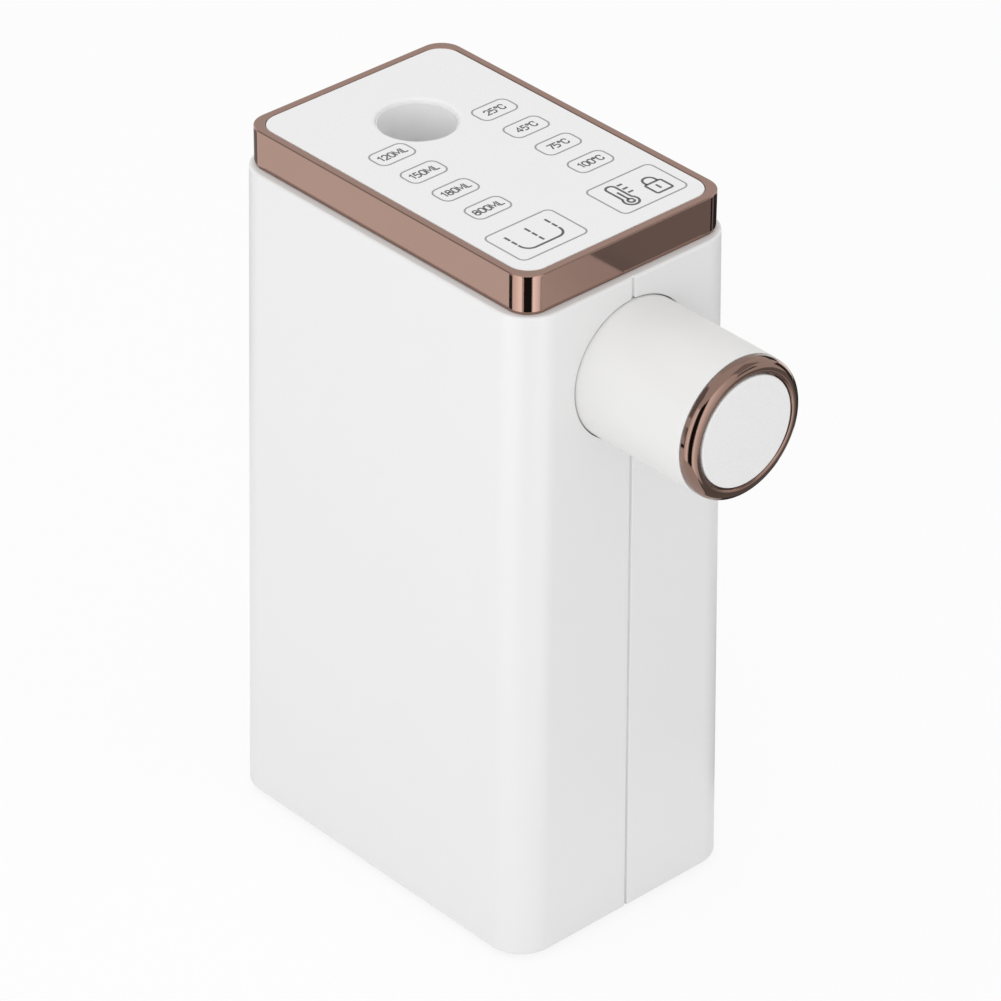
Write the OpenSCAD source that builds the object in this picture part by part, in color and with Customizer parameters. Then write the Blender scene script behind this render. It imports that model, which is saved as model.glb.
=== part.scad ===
// Desktop instant-heating water dispenser. A slim housing in two halves carries a plated trim frame with a
// flush touch panel, an inlet well for a bottle mouth at the rear and a round spout at the front.
// X runs across, the spout points to -Y and Z is up. The origin is on the table, under the middle of the
// whole footprint. Every piece is drawn about the housing's own upright centre line and then placed.

/* [Housing] */
// Width at the top ledge
body_w = 90; // [86:1:104]
// Depth at the top ledge
body_d = 137; // [132:1:152]
// Height from the lower edge to the ledge
body_h = 238.7; // [225:0.1:270]
// How far each side leans out between the ledge and the lower edge
body_draft = 2.8; // [1:0.1:4]
// Radius of the upright corners
body_r = 13; // [11:0.5:16]
// Wall thickness
wall = 2.5; // [2:0.1:3]
// Bevel along the top edge
edge_bevel = 1; // [0.5:0.1:1.5]
// Width of the parting groove between the halves
seam_w = 1.2; // [0.8:0.1:2]
// Depth of the parting groove
seam_depth = 1; // [0.5:0.1:1.4]
// Radius of the screw bosses at the foot of each half
boss_r = 4; // [3.5:0.1:5]
// Height of those bosses
boss_h = 14; // [12:1:20]
// How far those bosses stand from the front and rear of the ledge
boss_in = 24; // [20:1:30]
// How far a boss bites into the wall that carries it
boss_bite = 0.8; // [0.5:0.1:1.5]

/* [Base] */
// Height of the rubber feet below the housing
foot_h = 2; // [1:0.5:5]
// Radius of a rubber foot
foot_r = 7; // [5:0.5:8]
// How far a foot's centre stands in from the ledge's outline
foot_in = 12; // [11:0.5:16]
// Thickness of the base plate
base_t = 3; // [2.5:0.5:5]
// How far the base plate sits above the housing's lower edge
base_recess = 1; // [0.5:0.5:3]

/* [Trim and touch panel] */
// How far the trim band stands in from the ledge's outline
trim_inset = 2.6; // [2:0.1:4]
// Height of the trim above the ledge
trim_h = 13.8; // [12:0.1:18]
// Width of the trim's top rim
trim_w = 2.8; // [2:0.1:4]
// How much smaller the trim band's corner radius is than the housing's
trim_corner = 5; // [3:0.5:6]
// Bevel along the trim's top edge
trim_bevel = 0.5; // [0.3:0.1:0.8]
// Height of the shadow line under the trim band
shadow_h = 0.8; // [0.5:0.1:1.2]
// Depth of the shadow line
shadow_d = 0.6; // [0.3:0.1:1]
// Width of the shelf that carries the panel
shelf_w = 3; // [2:0.5:4]
// Thickness of that shelf
shelf_t = 2; // [1.5:0.5:3]
// Radius of the trim's screw bosses
trim_boss_r = 3.5; // [3:0.1:4]
// How far the ledge reaches in beyond the trim's inner face
ledge_in = 1.6; // [1:0.1:3]
// Corner radius of the opening inside the ledge
mouth_r = 14; // [13:0.5:16]
// Thickness of the touch panel
panel_t = 3; // [2.5:0.1:4]
// Bevel along the panel's edge
panel_bevel = 0.4; // [0.2:0.1:0.6]
// Gap between the panel and the rim
panel_gap = 0.15; // [0.1:0.05:0.3]
// Distance from the panel down to the touch board
touch_drop = 6; // [5:0.5:8]
// Margin round the touch board
touch_gap = 2; // [1.5:0.5:3]
// Distance of each column of keys from the middle
key_x = 21.5; // [18:0.5:26]
// Spacing of the keys in a column
key_pitch = 14.75; // [13:0.25:16]
// Distance of the first row of keys in front of the inlet
key_first = 11.8; // [11:0.1:13]
// Distance of the two large keys behind the rim's front edge
key_front = 15.8; // [14:0.1:18]
// Radius of a contact column under a key
pad_r = 3; // [2:0.5:4]

/* [Inlet] */
// Radius of the inlet bore
inlet_r = 12.9; // [12:0.1:14.5]
// Bevel round the inlet's mouth
inlet_lip = 0.4; // [0.3:0.1:1]
// Distance of the inlet's axis from the rear of the ledge
inlet_back = 37.5; // [36:0.5:42]
// Depth of the well below the panel
well_depth = 44; // [36:1:50]
// Wall of the well
well_wall = 2; // [1.5:0.1:3]
// Floor of the well
well_floor = 3; // [2.5:0.5:4]
// How far the well's flange stands out from its wall
flange_w = 3.5; // [2.5:0.5:4.5]
// Thickness of that flange
flange_t = 2.5; // [2:0.5:3.5]
// Thickness of the bottle-mouth gasket
gasket_t = 3; // [2:0.5:4]
// Inner radius of the gasket
gasket_r = 8.5; // [7.5:0.5:9.5]
// Depth of the groove in the well that holds the gasket
gasket_groove = 0.6; // [0.3:0.1:0.8]
// Thickness of the strainer
strainer_t = 1.2; // [0.8:0.1:2]
// Radius of the strainer's holes
mesh_r = 0.6; // [0.4:0.1:0.7]

/* [Water line] */
// Radius of the water passages
bore_r = 2.5; // [2:0.1:3]
// Outer radius of the hose spigots
spigot_r = 4; // [3.6:0.1:4.4]
// Length of an upright spigot
spigot_l = 12; // [11:0.5:14]
// Length of a level spigot beyond its housing
spout_spigot = 8; // [7.5:0.5:9]
// Wall of the hoses
hose_wall = 1.5; // [1:0.1:2]
// How far a hose is pushed onto an upright spigot
hose_grip = 10; // [8:0.5:11]
// How far a hose is pushed onto a level spigot
side_grip = 7; // [5:0.5:7.5]
// Free hose between the valve and the flow meter
hose_gap = 4; // [2:0.5:8]

/* [Non-return valve] */
// Radius of the valve's barrel
valve_r = 9; // [8.5:0.1:11]
// Wall of the barrel
valve_wall = 2; // [1.5:0.1:2.3]
// Radius of the flange under the well
seat_flange_r = 13; // [12:0.5:15]
// Thickness of the seat disc
seat_t = 4; // [3:0.5:6]
// Radius of the seat's passage
seat_r = 4; // [3:0.1:4.4]
// Thickness of the barrel's flange
barrel_flange_t = 3; // [2:0.5:4]
// Length of the chamber above the stem guide
chamber_l = 14; // [12:0.5:18]
// Thickness of the stem guide
guide_t = 2.5; // [2:0.1:4]
// Height of the space below the guide
plenum_h = 3.2; // [3:0.1:5]
// Floor of the barrel
valve_floor = 2.5; // [2:0.5:4]
// Radius of the poppet's head
poppet_r = 5.4; // [4.8:0.1:6]
// Thickness of the poppet's head
poppet_t = 2.4; // [2:0.1:3]
// Radius of the poppet's stem
stem_r = 1.5; // [1.2:0.1:1.8]
// Gap between the closed poppet and its seat
seat_gap = 0.3; // [0.2:0.05:0.4]
// Mean radius of the return spring
spring_r = 3; // [2.7:0.1:3.3]
// Radius of the spring's wire
wire_r = 0.35; // [0.25:0.05:0.4]
// Turns of the spring
spring_turns = 5; // [4:1:6]

/* [Flow meter] */
// Outer radius of the meter
meter_r = 10.5; // [10:0.5:12]
// Radius of its measuring bore
meter_bore = 7.5; // [7:0.1:8]
// Length of its body
meter_l = 32; // [28:1:36]
// Thickness of its cap
meter_cap_t = 3; // [2:0.5:4]
// Floor of its body
meter_floor = 3; // [2:0.5:4]
// Distance from floor or cap to the arms that hold the pin
arm_back = 2; // [1.5:0.5:3]
// Height of those arms
arm_h = 3; // [2:0.5:4]
// Thickness of those arms and of the cap's sleeve
arm_t = 1.6; // [1.2:0.1:2]
// Radius of the turbine's pin
pin_r = 1; // [0.8:0.1:1.2]
// Radius of the turbine's hub
hub_r = 2.4; // [2:0.1:3]
// Turbine blades
blades = 5; // [3:1:6]
// Width of a blade along the flow
blade_w = 7; // [5:0.5:8]
// Pitch of a blade
blade_angle = 35; // [20:5:45]
// Thickness of a blade
blade_t = 0.8; // [0.6:0.1:1]

/* [Pump] */
// Thickness of the soft mount
mount_t = 3; // [2:0.5:5]
// Radius of the motor
motor_r = 13; // [11:0.5:15]
// Length of the motor
motor_l = 26; // [22:1:30]
// Outer radius of the pump head
pump_r = 16; // [15.5:0.5:16.5]
// Radius of the impeller chamber
pump_bore = 12.5; // [11.5:0.5:13]
// Floor of the pump head
pump_floor = 3; // [2.5:0.5:4]
// Height of the impeller chamber
pump_cav = 10; // [9:0.5:12]
// Thickness of the pump's cover
cover_t = 3.5; // [3:0.5:5]
// Gap round the impeller
wheel_gap = 0.8; // [0.5:0.1:1]
// Thickness of the impeller's disc
wheel_t = 2; // [1.5:0.5:2.5]
// Thickness of the impeller's vanes
vane_t = 1.6; // [1.2:0.1:2]
// Height of the impeller's vanes
vane_h = 5; // [4:0.5:5.5]
// Vanes on the impeller
vanes = 6; // [4:1:8]
// Radius of the impeller's hub
wheel_hub = 3.5; // [3:0.5:4.5]
// Radius of the shaft
shaft_r = 1.5; // [1.2:0.1:2]
// Radius of the shaft seal
seal_r = 4; // [3.5:0.5:5]
// Thickness of the shaft seal
seal_t = 2; // [1.5:0.1:2]
// How far the shaft runs into the motor
shaft_in = 18; // [12:1:20]

/* [Heater] */
// Outer radius of the heater tube
heater_r = 16; // [15:0.5:17]
// Wall of the heater tube
heater_wall = 1.2; // [0.8:0.1:2]
// Length of the heater tube
heater_l = 100; // [90:1:104]
// Distance of its axis behind the inside of the front wall
heater_back = 35; // [33:0.5:36]
// How far the end caps stand out from the tube
cap_over = 2; // [1.5:0.5:3]
// Height of the lower end cap
low_cap_h = 16; // [15:0.5:20]
// Height of the upper end cap
high_cap_h = 14; // [13:0.5:18]
// How far the tube sits in each cap
cap_grip = 5; // [4:0.5:6]
// Floor and roof of the caps
cap_floor = 4; // [3:0.5:5]
// Wall of the caps' water chamber inside the tube's radius
cap_step = 3; // [2:0.5:4]
// Height of a bracket band
band_h = 8; // [6:0.5:10]
// Thickness of a bracket band
band_t = 2.5; // [2:0.5:3]
// Distance of the bands from the end caps
band_in = 10; // [8:0.5:16]
// Width of the leg between band and spine
leg_w = 10; // [8:0.5:12]
// Width of the bracket's plate on the spine
plate_w = 30; // [26:1:34]
// Radius of the thermal cut-out
cutout_r = 5.5; // [5:0.1:5.8]
// Height of the thermal cut-out
cutout_h = 6; // [5:0.5:8]
// Width of the cut-out's terminals
lug_w = 4; // [3:0.5:5]
// Thickness of those terminals
lug_t = 0.8; // [0.5:0.1:1]
// How far those terminals stand above the cut-out
lug_h = 7; // [5:0.5:9]
// Radius of the outlet probe
probe_r = 2.5; // [2:0.1:3]
// Height of the outlet probe
probe_h = 10; // [8:0.5:12]
// How far the probe's nut stands out from it
probe_nut = 1.5; // [1:0.1:2]
// Height of the probe's nut
nut_h = 3.4; // [2:0.1:4]

/* [Spout] */
// Outer radius of the spout
spout_r = 24; // [22:0.5:25]
// Wall of the spout
spout_wall = 2.2; // [1.8:0.1:3]
// Distance of the spout's axis below the ledge
spout_drop = 32.05; // [32:0.05:50]
// How far the spout's end stands out from the front face
spout_reach = 50.4; // [44:0.1:70]
// Shadow gap round the root of the spout
spout_gap = 0.7; // [0.4:0.1:1]
// Width of the collar that carries the spout behind the front wall
collar_w = 5; // [4.5:0.1:5]
// Length of that collar
collar_l = 3.5; // [3:0.5:5]
// Thickness of the spout's inner flange
spout_flange_t = 3; // [2.5:0.5:4]
// Length of the plated ring
ring_l = 5; // [4.5:0.1:6]
// Radius of the rounding on the bead next to the spout
bead_round = 1.1; // [0.8:0.1:1.2]
// Radius of the bead next to the spout
bead_r = 23.8; // [23.2:0.1:24]
// Depth of the groove between the ring's beads
bead_groove = 0.9; // [0.5:0.1:1.2]
// Radius of the ring's front bead
front_bead_r = 22.3; // [21.6:0.1:22.6]
// Radius of the rounding on the front bead
front_round = 2.2; // [1.5:0.1:2.4]
// Radius of the white end cap
end_cap_r = 18.8; // [17.5:0.1:19]
// Thickness of the end cap
end_cap_t = 2.5; // [2:0.1:3]
// Gap round the end cap
end_cap_gap = 0.3; // [0.2:0.05:0.5]
// Step inside the ring that carries the end cap
cap_seat = 1.8; // [1.2:0.1:2]
// How far the ring's sleeve enters the spout
sleeve_l = 4; // [3:0.5:6]
// Distance of the nozzle behind the spout's end
nozzle_back = 19; // [17:0.5:24]
// Outer radius of the nozzle tip
nozzle_r = 6; // [5.6:0.1:6.4]
// How far the nozzle tip stands below the spout
nozzle_out = 3; // [2:0.5:4]
// Length of the nozzle tip
nozzle_l = 8; // [7:0.5:9]
// Radius of the bend between heater and spout
bend_r = 16; // [13:0.5:17]

/* [Spine and boards] */
// Thickness of the spine plate
spine_t = 3; // [2.5:0.5:4]
// Height of the spine plate
spine_h = 176; // [170:1:182]
// Distance of the spine's rear face in front of the middle
spine_y = 1; // [0:0.5:2]
// Gap between the spine and the side walls at the ledge
spine_gap = 2.5; // [2:0.5:5]
// Spacing of the screws through the spine's foot
spine_screw_x = 30; // [24:1:32]
// Depth of the spine's foot
spine_foot = 9; // [8.5:0.5:10]
// Thickness of a circuit board
board_t = 1.6; // [1:0.2:2]
// Width of the main board
board_w = 60; // [56:1:68]
// Height of the main board
board_h = 96; // [92:1:104]
// Height of the main board's lower edge above the base plate
board_up = 68; // [62:1:70]
// Length of the stand-offs behind the main board
standoff_l = 4; // [3:0.5:5]
// Radius of the stand-offs
standoff_r = 2.5; // [2:0.5:3]
// How far components stand off the main board
part_h = 10; // [8:0.5:12]
// Distance of the two columns of components from the board's middle
part_x = 15; // [14:0.5:16]
// Width and height of the relay
relay_size = [16, 19]; // [10:1:22]
// Distance of the relay's and transformer's lower edge below the board's upper edge
relay_drop = 26; // [24:1:28]
// Width and height of the transformer's core
core_size = [18, 16]; // [10:1:22]
// Width and height of the transformer's winding
winding_size = [12, 22]; // [8:1:22]
// Depth of the winding below the core's face
winding_step = 2; // [1:0.5:3]
// Radius of the capacitors
capacitor_r = 4.5; // [3:0.5:5]
// Height of the capacitors above the board's lower edge
capacitor_up = 50; // [44:1:56]
// Width and height of the heat sink
sink_size = [22, 28]; // [16:1:30]
// Height of the heat sink above the board's lower edge
sink_up = 32; // [28:1:34]
// Fins on the heat sink
sink_fins = 5; // [3:1:6]
// Thickness of the heat sink's plate and fins
sink_t = 2; // [1.5:0.5:2.5]
// Width and height of the terminal block
terminal_size = [36, 10]; // [8:1:40]
// Height of the terminal block above the board's lower edge
terminal_up = 8; // [7:1:16]
// Wire holes in the terminal block
terminals = 4; // [2:1:5]
// Radius of a wire hole
terminal_r = 2; // [1.5:0.1:2.5]

/* [Power bay] */
// Height of the bay's middle above the table
bay_z = 46; // [45:1:60]
// Depth of the bay
bay_depth = 4.5; // [4:0.1:5]
// Margin round the pieces in the bay
bay_gap = 2.5; // [2:0.5:4]
// Width of the appliance inlet's flange
socket_w = 30; // [29:0.5:32]
// Height of the appliance inlet's flange
socket_h = 23; // [22.5:0.5:25]
// Thickness of the flanges in the bay
bay_flange_t = 2; // [1.5:0.1:2.5]
// How far the flanges lap over their cut-outs
bay_lap = 1.5; // [1:0.1:2]
// Width of the inlet's recess
recess_w = 24.4; // [24:0.1:24.8]
// Height of the inlet's recess
recess_h = 16.8; // [16.4:0.1:17.2]
// Depth of the inlet's recess
recess_l = 14.5; // [13.5:0.5:15.5]
// Corner cut of the inlet's recess
recess_cut = 4; // [3:0.5:5]
// Floor of the inlet's recess
recess_floor = 2; // [1.5:0.5:2.5]
// Spacing of the live pins from the middle
pin_x = 7; // [6.5:0.1:7.5]
// Offset of the pins up and down from the middle
pin_z = 2; // [1.8:0.1:2.2]
// Width and height of a pin
blade = [2, 4]; // [1:0.1:5]
// How far the pins end behind the inlet's face
pin_in = 2; // [1:0.5:3]
// Length of the solder tab behind the inlet
tab_l = 2.5; // [2:0.5:3]
// Width of the rocker
rocker_w = 10; // [9:0.5:12]
// Radius that the rocker's ends swing on
rocker_r = 9.3; // [8.5:0.1:10]
// Height of the rocker's crown above its pivot
rocker_crown = 6.2; // [5.6:0.1:6.4]
// Distance of the pivot behind the flange's face
rocker_depth = 4.5; // [4:0.1:5]
// Tilt of the rocker to each side
rocker_tilt = 10; // [6:1:12]
// Radius of the rocker's pivot stubs
stub_r = 1.2; // [1:0.1:1.5]
// Wall of the switch frame
switch_wall = 1.5; // [1.3:0.1:2]
// Depth of the switch frame behind the bay
switch_l = 14; // [12:0.5:15]

/* [Fasteners and clearances] */
// Radius of the screws
screw_r = 1.1; // [0.9:0.1:1.2]
// Radius of a screw's head
head_r = 2.2; // [1.8:0.1:2.3]
// Height of a screw's head
head_h = 1.5; // [1:0.1:1.6]
// Length of the cross slot in a screw's head
slot_l = 2.6; // [1.8:0.1:3]
// Width of the cross slot
slot_w = 0.55; // [0.4:0.05:0.8]
// Depth of the cross slot
slot_depth = 0.5; // [0.3:0.1:0.7]
// Plastic left over a blind screw hole
blind_end = 2; // [1:0.5:3]
// How far a screw stops short of the end of its hole
screw_short = 1; // [0.5:0.5:2]
// Clearance between pieces that drop into one another
fit_gap = 0.2; // [0.1:0.05:0.3]
// Clearance of hoses, screws and other close fits
close_gap = 0.05; // [0.03:0.01:0.08]
// Radial clearance of shafts and pins that turn or slide
run_gap = 0.05; // [0.03:0.01:0.08]
// Gap beside pieces that move
move_gap = 0.3; // [0.3:0.05:0.4]

/* [Hidden] */
$fn = 64;

// Segments round the corners of plates and housings
corner_fn = 32;
// Thickness of the thin slices that a blended form is stretched between
slice_t = 0.4;
// Extra length of a cut beyond the surface it opens
over = 1;
// Rings per turn and sides of a coiled wire
coil_rings = 12;
coil_sides = 6;

// Levels of the housing and its top
low_z = foot_h;
ledge_z = low_z + body_h;
top_z = ledge_z + trim_h;
panel_low = top_z - panel_t;
shelf_low = panel_low - shelf_t;
base_low = low_z + base_recess;
base_top = base_low + base_t;
half_w = body_w / 2;
half_d = body_d / 2;
lean = body_draft / body_h;
draft_angle = atan(lean);
// How far a side at height z stands outside the ledge's outline
function grow(z) = (ledge_z - z) * lean;

// Plan sizes of the trim, the panel and the touch board
band_w = body_w - 2 * trim_inset;
band_d = body_d - 2 * trim_inset;
band_r = body_r - trim_corner;
rim_w = band_w - 2 * trim_w;
rim_d = band_d - 2 * trim_w;
rim_r = body_r - trim_inset - trim_w;
trim_boss_out = rim_r - trim_boss_r + boss_bite;
trim_boss_x = rim_w / 2 - rim_r + trim_boss_out * cos(45);
trim_boss_y = rim_d / 2 - rim_r + trim_boss_out * sin(45);
line_y = half_d - inlet_back;
well_r = inlet_r + well_wall;
flange_r = well_r + flange_w;
touch_w = rim_w - 2 * shelf_w - 2 * touch_gap;
touch_front = -(rim_d / 2 - shelf_w - touch_gap);
touch_rear = line_y - key_first + pad_r + touch_gap;
touch_top = panel_low - touch_drop;
touch_post_r = 2 * screw_r + fit_gap;
touch_post_x = touch_w / 2 - touch_post_r - touch_gap;
touch_post_ys = [touch_front + touch_post_r + touch_gap, touch_rear - touch_post_r];

// Levels down the inlet line
floor_z = panel_low - well_depth;
well_low = floor_z - well_floor;
seat_low = well_low - seat_t;
guide_top = seat_low - chamber_l;
guide_low = guide_top - guide_t;
plenum_low = guide_low - plenum_h;
valve_low = plenum_low - valve_floor;
valve_end = valve_low - spigot_l;
poppet_low = seat_low - seat_gap - poppet_t;
meter_end = valve_end - hose_gap;
meter_cap_low = meter_end - spigot_l - meter_cap_t;
meter_low = meter_cap_low - meter_l;
meter_foot = meter_low - spigot_l;
low_arm = meter_low + meter_floor + arm_back;
high_arm = meter_cap_low - arm_back - arm_h;
hose_in = spigot_r + close_gap;
hose_r = hose_in + hose_wall;

// Levels of the pump
motor_low = base_top + mount_t;
head_low = motor_low + motor_l;
cav_low = head_low + pump_floor;
cav_top = cav_low + pump_cav;
cover_top = cav_top + cover_t;
pump_end = cover_top + spigot_l;
out_x = pump_bore - bore_r;
out_z = cav_low + pump_cav / 2;
out_y = line_y - pump_r - spout_spigot;

// Levels of the heater
heater_y = -(half_d - wall - heater_back);
cap_r = heater_r + cap_over;
low_cap_z = out_z - low_cap_h / 2;
tube_low = low_cap_z + low_cap_h - cap_grip;
tube_top = tube_low + heater_l;
high_cap_z = tube_top - cap_grip;
heater_top = high_cap_z + high_cap_h;
chamber_r = heater_r - cap_step;
in_y = heater_y + cap_r + spout_spigot;
band_zs = [tube_low + cap_grip + band_in, high_cap_z - band_in - band_h];
spine_rear = -spine_y;
spine_front = spine_rear - spine_t;
plate_screw_x = plate_w / 2 - head_r - fit_gap;
sensor_out = hose_r + cutout_r + fit_gap;

// Places along the spout, measured forward from the front face
spout_z = ledge_z - spout_drop;
front_y = half_d + grow(spout_z);
hole_r = spout_r + spout_gap;
collar_r = spout_r + collar_w;
collar_back = -(wall + collar_l);
flange_back = collar_back - spout_flange_t;
tube_end = spout_reach - ring_l;
nozzle_at = spout_reach - nozzle_back;
pipe_back = -(front_y + heater_y - bend_r);
spout_screw_out = (hole_r + collar_r) / 2;
body_y = (front_y + spout_reach - half_d - body_draft) / 2;

// Sizes of the power bay
socket_body_w = socket_w - 2 * bay_lap;
socket_body_h = socket_h - 2 * bay_lap;
switch_open_w = rocker_w + 2 * move_gap;
switch_open_h = 2 * (rocker_r + move_gap);
switch_body_w = switch_open_w + 2 * switch_wall;
switch_body_h = switch_open_h + 2 * switch_wall;
switch_w = switch_body_w + 2 * bay_lap;
switch_h = switch_body_h + 2 * bay_lap;
bay_w = socket_w + 2 * bay_gap;
bay_h = socket_h + switch_h + 3 * bay_gap;
socket_dz = -bay_h / 2 + bay_gap + socket_h / 2;
switch_dz = bay_h / 2 - bay_gap - switch_h / 2;
bay_face = -bay_depth + bay_flange_t;
pivot_y = bay_face - rocker_depth;
board_y = spine_rear + standoff_l;
board_z = base_top + board_up;
part_y = board_y + board_t;

// Colours of the pieces
white = [0.93, 0.93, 0.93];
rose_gold = [0.66, 0.52, 0.47];
rubber_grey = [0.25, 0.25, 0.26];
steel = [0.72, 0.73, 0.75];
clear_hose = [0.86, 0.88, 0.9];
board_green = [0.1, 0.35, 0.2];
black = [0.1, 0.1, 0.11];
brass = [0.75, 0.6, 0.3];

// Colours a piece and moves it from the housing's centre line to its place over the origin
module piece(colour) color(colour) translate([0, body_y, 0]) children();

// A box centred across X and Y that stands on its lower face
module block(w, d, h) translate([-w / 2, -d / 2, 0]) cube([w, d, h]);

// A round tube that stands on its lower face
module pipe(r_out, r_in, h) difference() {
    cylinder(r = r_out, h = h);
    translate([0, 0, -over]) cylinder(r = r_in, h = h + 2 * over);
}

// The four round corners of a plate
module corner_posts(w, d, t, r) {
    for (x = [-1, 1], y = [-1, 1])
        translate([x * (w / 2 - r), y * (d / 2 - r), 0]) cylinder(r = r, h = t, $fn = corner_fn);
}

// A flat plate with round corners
module rounded_plate(w, d, t, r) hull() corner_posts(w, d, t, r);

// A flat plate with round corners and a bevelled top edge
module bevelled_plate(w, d, t, r, bevel) hull() {
    corner_posts(w, d, t - bevel, r);
    translate([0, 0, t - slice_t / 4]) corner_posts(w - 2 * bevel, d - 2 * bevel, slice_t / 4, r - bevel);
}

// A cross-head screw whose head stands below its seat and whose shank points up
module screw(l) difference() {
    union() {
        translate([0, 0, -head_h]) cylinder(r = head_r, h = head_h);
        translate([0, 0, -head_h / 2]) cylinder(r = screw_r, h = l + head_h / 2);
    }
    for (a = [0, 90]) rotate([0, 0, a]) translate([0, 0, -head_h - over])
        block(slot_l, slot_w, over + slot_depth);
}

// The same place on both sides and at both ends
module four_corners(x, y) for (i = [-1, 1], j = [-1, 1]) translate([i * x, j * y, 0]) children();

// A place on the axis of the inlet line
module on_line(z) translate([0, line_y, z]) children();

// A place on the spout's axis, s forward of the front face, with the piece's Z pointing forward
module on_spout(s) translate([0, -front_y - s, spout_z]) rotate([90, 0, 0]) children();

// A place on the rear face at height z, with Y pointing squarely out of the face
module on_rear(z) translate([0, half_d + grow(z), z]) rotate([draft_angle, 0, 0]) children();

// A thin level slice of the housing at height z, inset from its outer face
module body_slice(z, inset) {
    side = 2 * (grow(z) - inset);
    translate([0, 0, z]) corner_posts(body_w + side, body_d + side, slice_t, body_r - inset);
}

// The housing's leaning form between two heights, inset from its outer face
module body_form(z_low, z_high, inset) hull() {
    body_slice(z_low, inset);
    body_slice(z_high - slice_t, inset);
}

// The whole outer form of the housing, with its bevelled top edge
module outer_form() hull() {
    body_slice(low_z, 0);
    body_slice(ledge_z - edge_bevel - slice_t, 0);
    body_slice(ledge_z - slice_t, edge_bevel);
}

// Both halves' wall in one: hollow, open below and inside the ledge, grooved along the parting line
module housing_skin() difference() {
    union() {
        difference() {
            outer_form();
            translate([-seam_w / 2, -body_d, 0]) cube([seam_w, 2 * body_d, top_z]);
        }
        body_form(low_z, ledge_z - seam_depth, seam_depth);
    }
    body_form(low_z - over, ledge_z - wall, wall);
    translate([0, 0, ledge_z - wall - over])
        rounded_plate(rim_w - 2 * ledge_in, rim_d - 2 * ledge_in, wall + 2 * over, mouth_r);
}

// Places of the four bosses that the base plate is screwed to
module base_boss_places() four_corners(
    half_w + grow(base_top) - wall - boss_r + boss_bite, half_d - boss_in) children();

// Places of the four screws round the spout's root
module spout_screw_places(s) on_spout(s) for (a = [45:90:315]) rotate([0, 0, a])
    translate([spout_screw_out, 0, 0]) children();

// One half of the housing: side is -1 for the left half and 1 for the right
module housing_half(side) piece(white) intersection() {
    translate([side < 0 ? -body_d : 0, -body_d, 0]) cube([body_d, 2 * body_d, top_z]);
    difference() {
        union() {
            housing_skin();
            on_spout(collar_back) cylinder(r = collar_r, h = collar_l + wall / 2);
            on_rear(bay_z) translate([0, -wall / 2 - (bay_depth + wall / 2) / 2, -bay_h / 2 - wall])
                block(bay_w + 2 * wall, bay_depth + wall / 2, bay_h + 2 * wall);
            base_boss_places() translate([0, 0, base_top]) cylinder(r = boss_r, h = boss_h);
        }
        on_spout(collar_back - over) cylinder(r = hole_r, h = collar_l + wall + 3 * over);
        spout_screw_places(collar_back - over)
            cylinder(r = screw_r + close_gap, h = over + collar_l + wall / 2);
        base_boss_places() translate([0, 0, base_top - over])
            cylinder(r = screw_r + close_gap, h = boss_h - blind_end + over);
        four_corners(trim_boss_x, trim_boss_y) translate([0, 0, ledge_z - wall - over])
            cylinder(r = screw_r + fit_gap, h = wall + 2 * over);
        on_rear(bay_z) {
            translate([0, (over - bay_depth) / 2, -bay_h / 2]) block(bay_w, bay_depth + over, bay_h);
            translate([0, -bay_depth, socket_dz - socket_body_h / 2 - fit_gap])
                block(socket_body_w + 2 * fit_gap, 2 * wall, socket_body_h + 2 * fit_gap);
            translate([0, -bay_depth, switch_dz - switch_body_h / 2 - fit_gap])
                block(switch_body_w + 2 * fit_gap, 2 * wall, switch_body_h + 2 * fit_gap);
        }
    }
}

module left_housing() housing_half(-1);

module right_housing() housing_half(1);

module base_plate() piece(white) difference() {
    side = 2 * (grow(base_top) - wall - fit_gap);
    translate([0, 0, base_low]) rounded_plate(body_w + side, body_d + side, base_t, body_r - wall - fit_gap);
    base_boss_places() translate([0, 0, base_low - over]) {
        cylinder(r = screw_r + fit_gap, h = base_t + 2 * over);
        cylinder(r = head_r + fit_gap, h = head_h + over);
    }
    spine_screw_places(base_low - over) cylinder(r = screw_r + close_gap, h = base_t + 2 * over);
}

module rubber_feet() piece(rubber_grey) four_corners(half_w - foot_in, half_d - foot_in) {
    cylinder(r1 = foot_r - base_recess, r2 = foot_r, h = foot_h);
    translate([0, 0, foot_h]) cylinder(r = foot_r, h = base_recess);
}

module base_screws() piece(steel) base_boss_places() translate([0, 0, base_low + head_h])
    screw(base_t - head_h + boss_h - blind_end - screw_short);

module trim_frame() piece(rose_gold) difference() {
    union() {
        difference() {
            union() {
                translate([0, 0, ledge_z + shadow_h])
                    bevelled_plate(band_w, band_d, trim_h - shadow_h, band_r, trim_bevel);
                translate([0, 0, ledge_z]) rounded_plate(band_w - 2 * shadow_d, band_d - 2 * shadow_d,
                    shadow_h + over, band_r - shadow_d);
            }
            translate([0, 0, panel_low]) rounded_plate(rim_w, rim_d, panel_t + over, rim_r);
            translate([0, 0, ledge_z - over])
                rounded_plate(rim_w, rim_d, shelf_low - ledge_z + over, rim_r);
            translate([0, 0, ledge_z]) rounded_plate(rim_w - 2 * shelf_w, rim_d - 2 * shelf_w,
                trim_h, rim_r - shelf_w / 2);
        }
        four_corners(trim_boss_x, trim_boss_y) translate([0, 0, ledge_z])
            cylinder(r = trim_boss_r, h = shelf_low - ledge_z + shelf_t / 2);
    }
    four_corners(trim_boss_x, trim_boss_y) translate([0, 0, ledge_z - over])
        cylinder(r = screw_r + close_gap, h = shelf_low - ledge_z + over);
}

module trim_screws() piece(steel) four_corners(trim_boss_x, trim_boss_y) translate([0, 0, ledge_z - wall])
    screw(wall + shelf_low - ledge_z - screw_short);

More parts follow.
